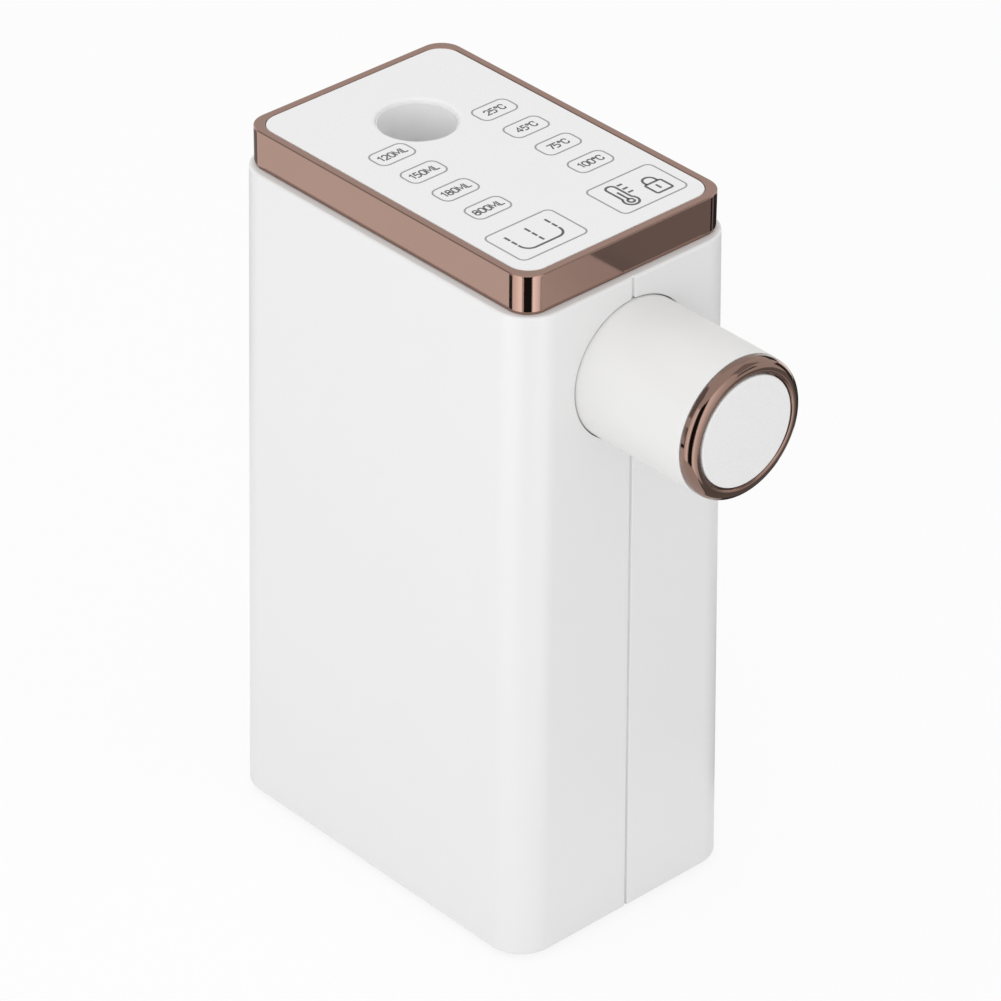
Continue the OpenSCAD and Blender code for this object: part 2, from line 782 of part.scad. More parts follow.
// Places of the four posts that hold the touch board under the panel
module touch_post_places() for (x = [-1, 1], y = touch_post_ys)
    translate([x * touch_post_x, y, 0]) children();

module touch_panel() piece(white) difference() {
    union() {
        translate([0, 0, panel_low]) bevelled_plate(rim_w - 2 * panel_gap, rim_d - 2 * panel_gap,
            panel_t, rim_r - panel_gap, panel_bevel);
        touch_post_places() translate([0, 0, touch_top]) cylinder(r = touch_post_r, h = touch_drop + over);
    }
    on_line(panel_low - over) cylinder(r = inlet_r, h = panel_t + 2 * over);
    on_line(top_z - inlet_lip) cylinder(r1 = inlet_r, r2 = inlet_r + inlet_lip + over, h = inlet_lip + over);
    touch_post_places() translate([0, 0, touch_top - over])
        cylinder(r = screw_r + close_gap, h = touch_drop + over);
}

module touch_board() piece(board_green) difference() {
    translate([-touch_w / 2, touch_front, touch_top - board_t])
        cube([touch_w, touch_rear - touch_front, board_t]);
    on_line(touch_top - board_t - over) cylinder(r = flange_r + touch_gap / 2, h = board_t + 2 * over);
    four_corners(trim_boss_x, trim_boss_y) translate([0, 0, touch_top - board_t - over])
        cylinder(r = trim_boss_r + touch_gap / 2, h = board_t + 2 * over);
    touch_post_places() translate([0, 0, touch_top - board_t - over])
        cylinder(r = screw_r + fit_gap, h = board_t + 2 * over);
}

module touch_pads() piece(rubber_grey) for (x = [-1, 1])
    for (y = concat([for (i = [0:3]) line_y - key_first - i * key_pitch], [key_front - rim_d / 2]))
        translate([x * key_x, y, touch_top]) cylinder(r = pad_r, h = touch_drop);

module touch_screws() piece(steel) touch_post_places() translate([0, 0, touch_top - board_t])
    screw(board_t + touch_drop - screw_short);

module inlet_well() piece(white) difference() {
    union() {
        on_line(well_low) cylinder(r = well_r, h = well_floor + well_depth);
        on_line(panel_low - flange_t) cylinder(r = flange_r, h = flange_t);
    }
    on_line(floor_z) cylinder(r = inlet_r, h = well_depth + over);
    on_line(floor_z) cylinder(r = inlet_r + gasket_groove, h = gasket_t);
    on_line(well_low - over) cylinder(r = seat_r, h = well_floor + 2 * over);
}

module inlet_gasket() piece(rubber_grey) on_line(floor_z)
    pipe(inlet_r + gasket_groove - fit_gap, gasket_r, gasket_t);

module inlet_strainer() piece(steel) on_line(floor_z) difference() {
    cylinder(r = gasket_r - fit_gap, h = strainer_t);
    for (ring = [0, 1, 2], i = [0:max(0, ring * 6 - 1)])
        rotate([0, 0, i * 60 / max(1, ring)]) translate([ring * (seat_r - mesh_r) / 2, 0, -over])
            cylinder(r = mesh_r, h = strainer_t + 2 * over, $fn = 16);
}

module valve_seat() piece(white) on_line(seat_low) pipe(seat_flange_r, seat_r, seat_t);

module valve_body() piece(white) difference() {
    union() {
        on_line(seat_low - barrel_flange_t) cylinder(r = seat_flange_r, h = barrel_flange_t);
        on_line(valve_low) cylinder(r = valve_r, h = seat_low - valve_low);
        on_line(valve_end) cylinder(r = spigot_r, h = spigot_l + valve_floor / 2);
    }
    on_line(guide_top) cylinder(r = valve_r - valve_wall, h = chamber_l + over);
    on_line(plenum_low) cylinder(r = valve_r - valve_wall, h = plenum_h);
    on_line(guide_low - plenum_h / 2) cylinder(r = stem_r + run_gap, h = guide_t + plenum_h);
    on_line(guide_low - plenum_h / 2) for (a = [0:90:270]) rotate([0, 0, a])
        translate([(stem_r + valve_r - valve_wall) / 2, 0, 0])
            cylinder(r = bore_r / 2, h = guide_t + plenum_h);
    on_line(valve_end - over) cylinder(r = bore_r, h = plenum_low - valve_end + 2 * over);
}

module valve_poppet() piece(black) {
    on_line(poppet_low) cylinder(r = poppet_r, h = poppet_t);
    on_line(poppet_low + poppet_t / 2)
        cylinder(r1 = seat_r - move_gap, r2 = bore_r, h = poppet_t / 2 + seat_gap + seat_t / 2);
    on_line(guide_low) cylinder(r = stem_r, h = poppet_low - guide_low + poppet_t / 2);
}

// A helix of round wire as one tube with closed ends: ring i lies at angle 360 i / coil_rings
module coil(r, wire, h, turns) {
    steps = turns * coil_rings;
    climb = (h - 2 * wire) / steps;
    path = [for (i = [0:steps]) let (a = 360 * i / coil_rings) [r * cos(a), r * sin(a), wire + climb * i]];
    points = [for (i = [0:steps], k = [0:coil_sides - 1])
        let (a = 360 * i / coil_rings, b = 360 * k / coil_sides, out = r + wire * cos(b))
        [out * cos(a), out * sin(a), wire + climb * i + wire * sin(b)]];
    sides = [for (i = [0:steps - 1], k = [0:coil_sides - 1])
        let (a = i * coil_sides + k, b = i * coil_sides + (k + 1) % coil_sides)
        each [[a, b, b + coil_sides], [a, b + coil_sides, a + coil_sides]]];
    ends = [for (k = [1:coil_sides - 2]) each [[0, k + 1, k],
        [steps * coil_sides, steps * coil_sides + k, steps * coil_sides + k + 1]]];
    gap = min([for (i = [0:steps - coil_rings]) norm(path[i + coil_rings] - path[i])]) - 2 * wire;
    echo(spring_least_gap = gap);
    polyhedron(points, concat(sides, ends));
}

module valve_spring() piece(steel) on_line(guide_top + close_gap)
    coil(spring_r, wire_r, poppet_low - guide_top - 2 * close_gap, spring_turns);

module upper_hose() piece(clear_hose) on_line(meter_end - hose_grip)
    pipe(hose_r, hose_in, hose_gap + 2 * hose_grip);

// Three arms and a hub that hold one end of the meter's pin
module pin_arms(reach) difference() {
    union() {
        cylinder(r = hub_r, h = arm_h);
        for (a = [0:120:240]) rotate([0, 0, a]) translate([0, -arm_t / 2, 0]) cube([reach, arm_t, arm_h]);
    }
    translate([0, 0, -over]) cylinder(r = pin_r, h = arm_h + 2 * over);
}

module meter_cap() piece(white) difference() {
    union() {
        on_line(meter_cap_low) cylinder(r = meter_r, h = meter_cap_t);
        on_line(meter_cap_low + meter_cap_t / 2) cylinder(r = spigot_r, h = spigot_l + meter_cap_t / 2);
        on_line(high_arm) pipe(meter_bore - fit_gap, meter_bore - arm_t, arm_h + arm_back + over);
        on_line(high_arm) pin_arms(meter_bore - arm_t / 2);
    }
    on_line(meter_cap_low - arm_back / 2) cylinder(r = bore_r, h = meter_end - meter_cap_low + arm_back);
}

module meter_body() piece(white) {
    difference() {
        union() {
            on_line(meter_low) cylinder(r = meter_r, h = meter_l);
            on_line(meter_foot) cylinder(r = spigot_r, h = spigot_l + meter_floor / 2);
        }
        on_line(meter_low + meter_floor) cylinder(r = meter_bore, h = meter_l);
        on_line(meter_foot - over) cylinder(r = bore_r, h = spigot_l + meter_floor + 2 * over);
    }
    on_line(low_arm) pin_arms(meter_bore + arm_t / 2);
}

module meter_pin() piece(steel) on_line(low_arm) cylinder(r = pin_r, h = high_arm + arm_h - low_arm);

module flow_turbine() piece(black) on_line(low_arm + arm_h + move_gap) difference() {
    l = high_arm - low_arm - arm_h - 2 * move_gap;
    tip = sqrt(pow(meter_bore - move_gap, 2) - pow(blade_w / 2, 2)) - blade_t;
    union() {
        cylinder(r = hub_r, h = l);
        for (i = [0:blades - 1]) rotate([0, 0, i * 360 / blades]) translate([0, 0, l / 2])
            rotate([blade_angle, 0, 0]) translate([0, -blade_t / 2, -blade_w / 2])
                cube([tip, blade_t, blade_w]);
    }
    translate([0, 0, -over]) cylinder(r = pin_r + run_gap, h = l + 2 * over);
}

module lower_hose() piece(clear_hose) on_line(pump_end - hose_grip)
    pipe(hose_r, hose_in, meter_foot - pump_end + 2 * hose_grip);

// Places of the screws round the pump head, clear of its outlet
module pump_screw_places() for (a = [45, 135, 225]) rotate([0, 0, a])
    translate([(pump_bore + pump_r) / 2, 0, 0]) children();

module pump_cover() piece(black) on_line(cav_top) difference() {
    union() {
        cylinder(r = pump_r, h = cover_t);
        cylinder(r = spigot_r, h = cover_t + spigot_l);
    }
    translate([0, 0, -over]) cylinder(r = bore_r, h = cover_t + spigot_l + 2 * over);
    pump_screw_places() translate([0, 0, -over]) cylinder(r = screw_r + fit_gap, h = cover_t + 2 * over);
}

module pump_housing() piece(black) difference() {
    union() {
        on_line(head_low) cylinder(r = pump_r, h = pump_floor + pump_cav);
        translate([out_x, line_y - pump_r / 2, out_z]) rotate([90, 0, 0])
            cylinder(r = spigot_r, h = pump_r / 2 + spout_spigot);
    }
    on_line(cav_low) cylinder(r = pump_bore, h = pump_cav + over);
    translate([out_x, line_y, out_z]) rotate([90, 0, 0])
        cylinder(r = bore_r, h = pump_r + spout_spigot + over);
    on_line(head_low - over) cylinder(r = shaft_r + run_gap, h = pump_floor + 2 * over);
    on_line(head_low - over) cylinder(r = seal_r, h = seal_t + over);
    on_line(cav_top) pump_screw_places() translate([0, 0, -pump_cav]) cylinder(r = screw_r + close_gap,
        h = pump_cav + over);
}

module pump_seal() piece(rubber_grey) on_line(head_low) pipe(seal_r, shaft_r + run_gap, seal_t);

module pump_impeller() piece(white) on_line(cav_low + wheel_gap) difference() {
    r = pump_bore - wheel_gap;
    union() {
        cylinder(r = r, h = wheel_t);
        cylinder(r = wheel_hub, h = wheel_t + vane_h);
        for (i = [0:vanes - 1]) rotate([0, 0, i * 360 / vanes]) translate([0, -vane_t / 2, 0])
            cube([r - wheel_gap, vane_t, wheel_t + vane_h]);
    }
    translate([0, 0, -over]) cylinder(r = shaft_r, h = wheel_t + vane_h + 2 * over);
}

module pump_shaft() piece(steel) on_line(head_low - shaft_in)
    cylinder(r = shaft_r, h = shaft_in + pump_floor + wheel_gap + wheel_t + vane_h);

module pump_motor() piece(steel) on_line(motor_low) difference() {
    cylinder(r = motor_r, h = motor_l);
    translate([0, 0, motor_l - shaft_in - move_gap])
        cylinder(r = shaft_r + run_gap, h = shaft_in + move_gap + over);
}

module pump_mount() piece(rubber_grey) on_line(base_top) pipe(pump_r, motor_r / 2, mount_t);

module pump_screws() piece(steel) on_line(cover_top) pump_screw_places() mirror([0, 0, 1])
    screw(cover_t + pump_cav - screw_short);

module pump_hose() piece(clear_hose) translate([out_x, in_y - side_grip, out_z]) rotate([-90, 0, 0])
    pipe(hose_r, hose_in, out_y - in_y + 2 * side_grip);

module heater_low_cap() piece(black) difference() {
    union() {
        translate([0, heater_y, low_cap_z]) cylinder(r = cap_r, h = low_cap_h);
        translate([out_x, heater_y + heater_r / 2, out_z]) rotate([-90, 0, 0])
            cylinder(r = spigot_r, h = in_y - heater_y - heater_r / 2);
    }
    translate([0, heater_y, tube_low]) cylinder(r = heater_r + close_gap, h = cap_grip + over);
    translate([0, heater_y, low_cap_z + cap_floor]) cylinder(r = chamber_r, h = low_cap_h);
    translate([out_x, heater_y, out_z]) rotate([-90, 0, 0])
        cylinder(r = bore_r, h = in_y - heater_y + over);
}

module heater_tube() piece(steel) translate([0, heater_y, tube_low])
    pipe(heater_r, heater_r - heater_wall, heater_l);

module heater_high_cap() piece(black) translate([0, heater_y, high_cap_z]) difference() {
    union() {
        cylinder(r = cap_r, h = high_cap_h);
        cylinder(r = spigot_r, h = high_cap_h + spigot_l);
    }
    translate([0, 0, -over]) cylinder(r = heater_r + close_gap, h = cap_grip + over);
    translate([0, 0, -over]) cylinder(r = chamber_r, h = high_cap_h - cap_floor + over);
    cylinder(r = bore_r, h = high_cap_h + spigot_l + over);
}

// Places of the two bands round the heater tube
module band_places() for (z = band_zs) translate([0, 0, z]) children();

module heater_brackets() piece(steel) band_places() difference() {
    union() {
        translate([0, heater_y, 0]) cylinder(r = heater_r + band_t, h = band_h);
        translate([-leg_w / 2, heater_y, 0]) cube([leg_w, spine_front - heater_y, band_h]);
        translate([-plate_w / 2, spine_front - band_t, 0]) cube([plate_w, band_t, band_h]);
    }
    translate([0, heater_y, -over]) cylinder(r = heater_r + close_gap, h = band_h + 2 * over);
    for (x = [-1, 1]) translate([x * plate_screw_x, spine_front + over, band_h / 2]) rotate([90, 0, 0])
        cylinder(r = screw_r + fit_gap, h = band_t + 2 * over);
}

module bracket_screws() piece(steel) band_places() for (x = [-1, 1])
    translate([x * plate_screw_x, spine_front - band_t, band_h / 2]) rotate([-90, 0, 0])
        screw(band_t + spine_t - fit_gap);

module thermal_cutout() piece(black) translate([0, heater_y, heater_top]) rotate([0, 0, 45])
    translate([sensor_out, 0, 0]) {
        cylinder(r = cutout_r, h = cutout_h);
        for (x = [-1, 1]) translate([x * cutout_r / 2, 0, cutout_h / 2])
            block(lug_t, lug_w, cutout_h / 2 + lug_h);
    }

module outlet_probe() piece(brass) translate([0, heater_y, heater_top]) rotate([0, 0, 135])
    translate([sensor_out, 0, 0]) {
        cylinder(r = probe_r, h = probe_h);
        cylinder(r = probe_r + probe_nut, h = nut_h, $fn = 6);
    }

// The bent hose from the heater up and forward to the outlet pipe
module outlet_elbow() piece(clear_hose) {
    bend_z = spout_z - bend_r;
    bend_y = heater_y - bend_r;
    foot = heater_top + spigot_l - hose_grip;
    translate([0, heater_y, foot]) pipe(hose_r, hose_in, bend_z - foot);
    translate([0, bend_y, bend_z]) rotate([90, 0, 90]) rotate_extrude(angle = 90) translate([bend_r, 0])
        difference() {
            circle(r = hose_r);
            circle(r = hose_in);
        }
    translate([0, bend_y, spout_z]) rotate([90, 0, 0]) pipe(hose_r, hose_in, side_grip + over);
}

module outlet_pipe() piece(white) difference() {
    tip_low = -spout_r + spout_wall - nozzle_l / 4;
    union() {
        on_spout(pipe_back + over) cylinder(r = spigot_r, h = nozzle_at - pipe_back - over);
        on_spout(flange_back + spout_flange_t) cylinder(r = spigot_r + hose_wall, h = spout_flange_t);
        on_spout(nozzle_at) sphere(r = spigot_r);
        on_spout(nozzle_at) rotate([90, 0, 0]) cylinder(r = spigot_r, h = -tip_low);
    }
    on_spout(pipe_back) cylinder(r = bore_r, h = nozzle_at - pipe_back);
    on_spout(nozzle_at) rotate([90, 0, 0]) cylinder(r = bore_r, h = over - tip_low);
}

module nozzle_tip() piece(rubber_grey) on_spout(nozzle_at) rotate([90, 0, 0])
    translate([0, 0, spout_r + nozzle_out - nozzle_l]) difference() {
        cylinder(r = nozzle_r, h = nozzle_l);
        translate([0, 0, -over]) cylinder(r = hose_in, h = nozzle_l + over - nozzle_out);
        cylinder(r = bore_r, h = nozzle_l + over);
    }

module spout_tube() piece(white) difference() {
    union() {
        on_spout(flange_back) cylinder(r = collar_r - move_gap, h = spout_flange_t);
        on_spout(flange_back) cylinder(r = spout_r, h = tube_end - flange_back);
    }
    on_spout(collar_back) cylinder(r = spout_r - spout_wall, h = tube_end - collar_back + over);
    on_spout(flange_back - over) cylinder(r = spigot_r + close_gap, h = spout_flange_t + 2 * over);
    on_spout(nozzle_at) rotate([90, 0, 0]) cylinder(r = nozzle_r + fit_gap, h = spout_r + over);
    spout_screw_places(flange_back - over) cylinder(r = screw_r + fit_gap, h = spout_flange_t + 2 * over);
}

// Points of a round stretch in the ring's outline, from one angle to another
function round_points(r, s, radius, from, to) =
    [for (a = [from:(to - from) / 5:to]) [r + radius * cos(a), s + radius * sin(a)]];

module spout_ring() piece(rose_gold) on_spout(tube_end) {
    plug_r = spout_r - spout_wall - fit_gap;
    open_r = end_cap_r + end_cap_gap;
    rotate_extrude() polygon(concat(
        [[open_r - cap_seat, -sleeve_l], [plug_r, -sleeve_l], [plug_r, 0]],
        round_points(bead_r - bead_round, bead_round, bead_round, -90, 90),
        [[bead_r - bead_round - bead_groove / 2, 2 * bead_round]],
        round_points(front_bead_r - front_round, ring_l - front_round, front_round, 10, 90),
        [[open_r, ring_l - end_cap_gap], [open_r, ring_l - end_cap_t]],
        [[open_r - cap_seat, ring_l - end_cap_t]]
    ));
}

module spout_cap() piece(white) on_spout(spout_reach - end_cap_t) cylinder(r = end_cap_r, h = end_cap_t);

module spout_screws() piece(steel) spout_screw_places(flange_back)
    screw(spout_flange_t + collar_l + wall / 4);

// Places of the three screws through the spine's foot
module spine_screw_places(z) for (x = [-1, 0, 1])
    translate([x * spine_screw_x, spine_rear + spine_foot / 2 + fit_gap, z]) children();

// Places of the main board's four stand-offs
module standoff_places() for (x = [-1, 1], z = [standoff_r + fit_gap, board_h - standoff_r - fit_gap])
    translate([x * (board_w / 2 - standoff_r - fit_gap), spine_rear, board_z + z])
        rotate([-90, 0, 0]) children();

module spine() piece(steel) difference() {
    w = body_w - 2 * wall - 2 * spine_gap;
    union() {
        translate([-w / 2, spine_front, base_top]) cube([w, spine_t, spine_h]);
        translate([-w / 2, spine_front, base_top]) cube([w, spine_t + spine_foot, spine_t]);
        standoff_places() translate([0, 0, -spine_t / 2])
            cylinder(r = standoff_r, h = standoff_l + spine_t / 2);
        standoff_places() cylinder(r = screw_r, h = standoff_l + board_t + head_h);
    }
    translate([out_x, spine_front - over, out_z]) rotate([-90, 0, 0])
        cylinder(r = hose_r + fit_gap, h = spine_t + 2 * over);
    band_places() for (x = [-1, 1]) translate([x * plate_screw_x, spine_front - over, band_h / 2])
        rotate([-90, 0, 0]) cylinder(r = screw_r + close_gap, h = spine_t + 2 * over);
    spine_screw_places(base_top - over) cylinder(r = screw_r + fit_gap, h = spine_t + 2 * over);
}

module spine_screws() piece(steel) spine_screw_places(base_top + spine_t) mirror([0, 0, 1])
    screw(spine_t + base_t - fit_gap);

module main_board() piece(board_green) difference() {
    translate([-board_w / 2, board_y, board_z]) cube([board_w, board_t, board_h]);
    standoff_places() cylinder(r = screw_r + close_gap, h = standoff_l + board_t + over);
}

// A place on the main board's component side, from its middle and its lower edge
module on_board(x, z) translate([x, part_y, board_z + z]) children();

module relay() piece(black) on_board(part_x, board_h - relay_drop) translate([-relay_size[0] / 2, 0, 0])
    cube([relay_size[0], part_h, relay_size[1]]);

module transformer() piece(brass) on_board(-part_x, board_h - relay_drop + core_size[1] / 2) {
    translate([-core_size[0] / 2, 0, -core_size[1] / 2]) cube([core_size[0], part_h, core_size[1]]);
    translate([-winding_size[0] / 2, 0, -winding_size[1] / 2])
        cube([winding_size[0], part_h - winding_step, winding_size[1]]);
}

module capacitors() piece(black) for (x = [-1, 1])
    on_board(-part_x + x * (capacitor_r + close_gap), capacitor_up) rotate([-90, 0, 0])
        cylinder(r = capacitor_r, h = part_h);

module heat_sink() piece(steel) on_board(part_x, sink_up) {
    translate([-sink_size[0] / 2, 0, 0]) cube([sink_size[0], sink_t, sink_size[1]]);
    for (i = [0:sink_fins - 1])
        translate([-sink_size[0] / 2 + i * (sink_size[0] - sink_t) / (sink_fins - 1), 0, 0])
            cube([sink_t, part_h, sink_size[1]]);
}

module terminal_block() piece(board_green) on_board(0, terminal_up) difference() {
    pitch = terminal_size[0] / terminals;
    translate([-terminal_size[0] / 2, 0, 0]) cube([terminal_size[0], part_h, terminal_size[1]]);
    for (i = [0:terminals - 1])
        translate([(i + 0.5) * pitch - terminal_size[0] / 2, part_h + over, terminal_size[1] / 2])
            rotate([90, 0, 0]) cylinder(r = terminal_r, h = part_h / 2 + over);
}

module power_inlet() piece(black) on_rear(bay_z) translate([0, 0, socket_dz]) difference() {
    union() {
        translate([-socket_w / 2, -bay_depth, -socket_h / 2]) cube([socket_w, bay_flange_t, socket_h]);
        translate([-socket_body_w / 2, bay_face - recess_l - recess_floor, -socket_body_h / 2])
            cube([socket_body_w, recess_l + recess_floor - bay_flange_t / 2, socket_body_h]);
    }
    translate([0, bay_face + over, 0]) rotate([90, 0, 0]) linear_extrude(recess_l + over) polygon([
        [-recess_w / 2, -recess_h / 2], [recess_w / 2, -recess_h / 2],
        [recess_w / 2, recess_h / 2 - recess_cut], [recess_w / 2 - recess_cut, recess_h / 2],
        [recess_cut - recess_w / 2, recess_h / 2], [-recess_w / 2, recess_h / 2 - recess_cut],
    ]);
    pin_places() translate([0, bay_face - recess_l - recess_floor - over, 0])
        translate([-blade[0] / 2, 0, -blade[1] / 2]) cube([blade[0], recess_floor + 2 * over, blade[1]]);
}

// Places of the two live pins and the earth pin in the inlet
module pin_places() for (p = [[-pin_x, -pin_z], [pin_x, -pin_z], [0, pin_z]])
    translate([p[0], 0, p[1]]) children();

module inlet_pins() piece(brass) on_rear(bay_z) translate([0, 0, socket_dz]) pin_places()
    translate([-blade[0] / 2, bay_face - recess_l - recess_floor - tab_l, -blade[1] / 2])
        cube([blade[0], recess_l + recess_floor + tab_l - pin_in, blade[1]]);

module switch_frame() piece(black) on_rear(bay_z) translate([0, 0, switch_dz]) difference() {
    union() {
        translate([-switch_w / 2, -bay_depth, -switch_h / 2]) cube([switch_w, bay_flange_t, switch_h]);
        translate([-switch_body_w / 2, -bay_depth - switch_l, -switch_body_h / 2])
            cube([switch_body_w, switch_l + bay_flange_t / 2, switch_body_h]);
    }
    translate([-switch_open_w / 2, -bay_depth - switch_l + switch_wall, -switch_open_h / 2])
        cube([switch_open_w, switch_l + bay_flange_t + over, switch_open_h]);
    translate([-switch_w, pivot_y, 0]) rotate([0, 90, 0]) cylinder(r = stub_r + run_gap, h = 2 * switch_w);
}

// The rocker: two flat faces that meet over the pivot, with ends rounded about it
module power_rocker() piece(black) on_rear(bay_z) translate([0, pivot_y, switch_dz])
    rotate([-rocker_tilt, 0, 0]) {
        end_y = rocker_crown - rocker_r * tan(rocker_tilt);
        rotate([0, -90, 0]) intersection() {
            translate([0, 0, -rocker_w / 2]) linear_extrude(rocker_w) polygon([
                [-2 * stub_r, -2 * stub_r], [2 * stub_r, -2 * stub_r], [rocker_r, 0], [rocker_r, end_y],
                [0, rocker_crown], [-rocker_r, end_y], [-rocker_r, 0],
            ]);
            translate([0, 0, -rocker_w]) cylinder(r = rocker_r, h = 2 * rocker_w);
        }
        translate([-rocker_w / 2 - move_gap - switch_wall + fit_gap, 0, 0]) rotate([0, 90, 0])
            cylinder(r = stub_r, h = rocker_w + 2 * (move_gap + switch_wall - fit_gap));
    }

left_housing();
right_housing();
base_plate();
rubber_feet();
base_screws();
trim_frame();
trim_screws();
touch_panel();
touch_board();
touch_pads();
touch_screws();
inlet_well();
inlet_gasket();
inlet_strainer();
valve_seat();
valve_body();
valve_poppet();
valve_spring();
upper_hose();
meter_cap();
meter_body();
meter_pin();
flow_turbine();
lower_hose();
pump_cover();
pump_housing();
pump_seal();
pump_impeller();
pump_shaft();
pump_motor();
pump_mount();
pump_screws();
pump_hose();
heater_low_cap();
heater_tube();
heater_high_cap();
heater_brackets();
bracket_screws();
thermal_cutout();
outlet_probe();
outlet_elbow();
outlet_pipe();
nozzle_tip();
spout_tube();
spout_ring();
spout_cap();
spout_screws();
spine();
spine_screws();
main_board();
relay();
transformer();
capacitors();
heat_sink();
terminal_block();
power_inlet();
inlet_pins();
switch_frame();
power_rocker();
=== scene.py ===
"""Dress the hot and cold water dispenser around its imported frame.

Lengths are metres in the frame of the CAD model: x runs to the right, y to the rear and z up.
Sizes that a CAD node already holds are read from its box, and the rest are fields of the class
that builds the sub-assembly.
"""
import logging
import math
from dataclasses import dataclass, field
from enum import Enum
from typing import Sequence

import bmesh
import bpy
import numpy as np
from mathutils import Matrix, Vector


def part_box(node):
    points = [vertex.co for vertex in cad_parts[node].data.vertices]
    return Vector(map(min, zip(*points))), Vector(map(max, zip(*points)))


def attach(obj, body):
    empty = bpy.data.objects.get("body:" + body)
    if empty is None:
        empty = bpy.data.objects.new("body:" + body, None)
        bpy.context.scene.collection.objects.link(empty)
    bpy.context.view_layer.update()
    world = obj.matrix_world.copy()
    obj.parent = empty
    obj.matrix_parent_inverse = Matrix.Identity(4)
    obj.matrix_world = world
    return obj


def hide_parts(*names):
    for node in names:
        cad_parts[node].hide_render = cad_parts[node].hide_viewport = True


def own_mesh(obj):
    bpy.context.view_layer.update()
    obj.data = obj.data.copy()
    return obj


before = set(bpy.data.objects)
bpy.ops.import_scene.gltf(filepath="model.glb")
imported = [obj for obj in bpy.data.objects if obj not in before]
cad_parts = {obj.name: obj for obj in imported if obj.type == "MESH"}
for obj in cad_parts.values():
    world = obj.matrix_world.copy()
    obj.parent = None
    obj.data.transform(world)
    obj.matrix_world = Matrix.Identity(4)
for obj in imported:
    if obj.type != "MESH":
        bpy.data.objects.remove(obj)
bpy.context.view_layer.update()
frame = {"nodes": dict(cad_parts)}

MM = 0.001
QUARTER = math.pi / 2
RIGHT, FRONT, UP = (1, 0, 0), (0, -1, 0), (0, 0, 1)
WHITE = (1, 1, 1, 1)
ARC_STEPS = 6  # pieces in a rounded corner of a path
BEND = np.linspace(0, QUARTER, 6)  # angles along an edge's rounding
MERGE = 0.002 * MM  # points nearer than this become one
MITRE = 0.5  # least cosine that the mitre of a printed line follows
CREASE = 38.0  # angle in degrees from which an edge is drawn sharp
Array = np.ndarray
Pair = tuple[float, float]
Triple = tuple[float, float, float]
Floats = tuple[float, ...]
log = logging.getLogger("dispenser")


class Grain(Enum):
    """How a finish's fine pattern lies, as the stretch of its noise along x, y and z."""

    EVEN = (1.0, 1.0, 1.0)
    DRAWN_UP = (1.0, 1.0, 0.03)
    DRAWN_ACROSS = (0.03, 1.0, 1.0)


@dataclass(frozen=True)
class Finish:
    """A surface: its colour and gloss, with the mottle and grain that the process leaves.

    Attributes:
        name: Name of the material.
        colour: Linear red, green and blue.
        roughness: Middle of the roughness, which the grain moves up and down.
        metallic: 1 for bare or plated metal.
        grain: Direction of the fine pattern.
        grain_size: Length of one grain.
        grain_height: Height of the grain in the bump.
        swing: Share by which the grain moves the roughness.
        bump: Strength of the bump.
        tone: Share by which the colour drifts over the piece.
        mottle: Patches of that drift in a metre.
        mottle_detail: Octaves of its noise.
        coat: Weight of a clear coat.
        transmission: Share of light that passes through.
    """

    name: str
    colour: Triple
    roughness: float
    metallic: float = 0.0
    grain: Grain = Grain.EVEN
    grain_size: float = 0.5 * MM
    grain_height: float = 0.004 * MM
    swing: float = 0.2
    bump: float = 0.5
    tone: float = 0.015
    mottle: float = 45.0
    mottle_detail: float = 4.0
    coat: float = 0.0
    transmission: float = 0.0

    def material(self) -> bpy.types.Material:
        """Find this finish's material, or make it.

        A broad noise on object coordinates drifts the colour by plus or minus the tone. A fine
        noise, stretched along the grain, swings the roughness and lifts the bump.

        Returns:
            The node material.
        """
        found = bpy.data.materials.get(self.name)
        if found:
            return found
        material = bpy.data.materials.new(self.name)
        material.use_nodes = True
        nodes, links = material.node_tree.nodes, material.node_tree.links
        shader = nodes["Principled BSDF"]
        shader.inputs["Metallic"].default_value = self.metallic
        shader.inputs["Coat Weight"].default_value = self.coat
        shader.inputs["Transmission Weight"].default_value = self.transmission
        place = nodes.new("ShaderNodeTexCoord")
        stretch = nodes.new("ShaderNodeMapping")
        stretch.inputs["Scale"].default_value = self.grain.value
        links.new(place.outputs["Object"], stretch.inputs["Vector"])

        mottle = nodes.new("ShaderNodeTexNoise")
        mottle.inputs["Scale"].default_value = self.mottle
        mottle.inputs["Detail"].default_value = self.mottle_detail
        links.new(place.outputs["Object"], mottle.inputs["Vector"])
        drift = nodes.new("ShaderNodeMix")
        drift.data_type = "RGBA"
        darker, lighter = (
            [min(1.0, part * (1 + change)) for part in self.colour] + [1.0]
            for change in (-self.tone, self.tone)
        )
        drift.inputs["A"].default_value = darker
        drift.inputs["B"].default_value = lighter
        links.new(mottle.outputs["Fac"], drift.inputs["Factor"])
        links.new(drift.outputs["Result"], shader.inputs["Base Color"])

        fine = nodes.new("ShaderNodeTexNoise")
        fine.inputs["Scale"].default_value = 1.0 / self.grain_size
        links.new(stretch.outputs["Vector"], fine.inputs["Vector"])
        gloss = nodes.new("ShaderNodeMapRange")
        gloss.inputs["To Min"].default_value = self.roughness * (1 - self.swing)
        gloss.inputs["To Max"].default_value = self.roughness * (1 + self.swing)
        links.new(fine.outputs["Fac"], gloss.inputs["Value"])
        links.new(gloss.outputs["Result"], shader.inputs["Roughness"])
        bump = nodes.new("ShaderNodeBump")
        bump.inputs["Strength"].default_value = self.bump
        bump.inputs["Distance"].default_value = self.grain_height
        links.new(fine.outputs["Fac"], bump.inputs["Height"])
        links.new(bump.outputs["Normal"], shader.inputs["Normal"])
        return material


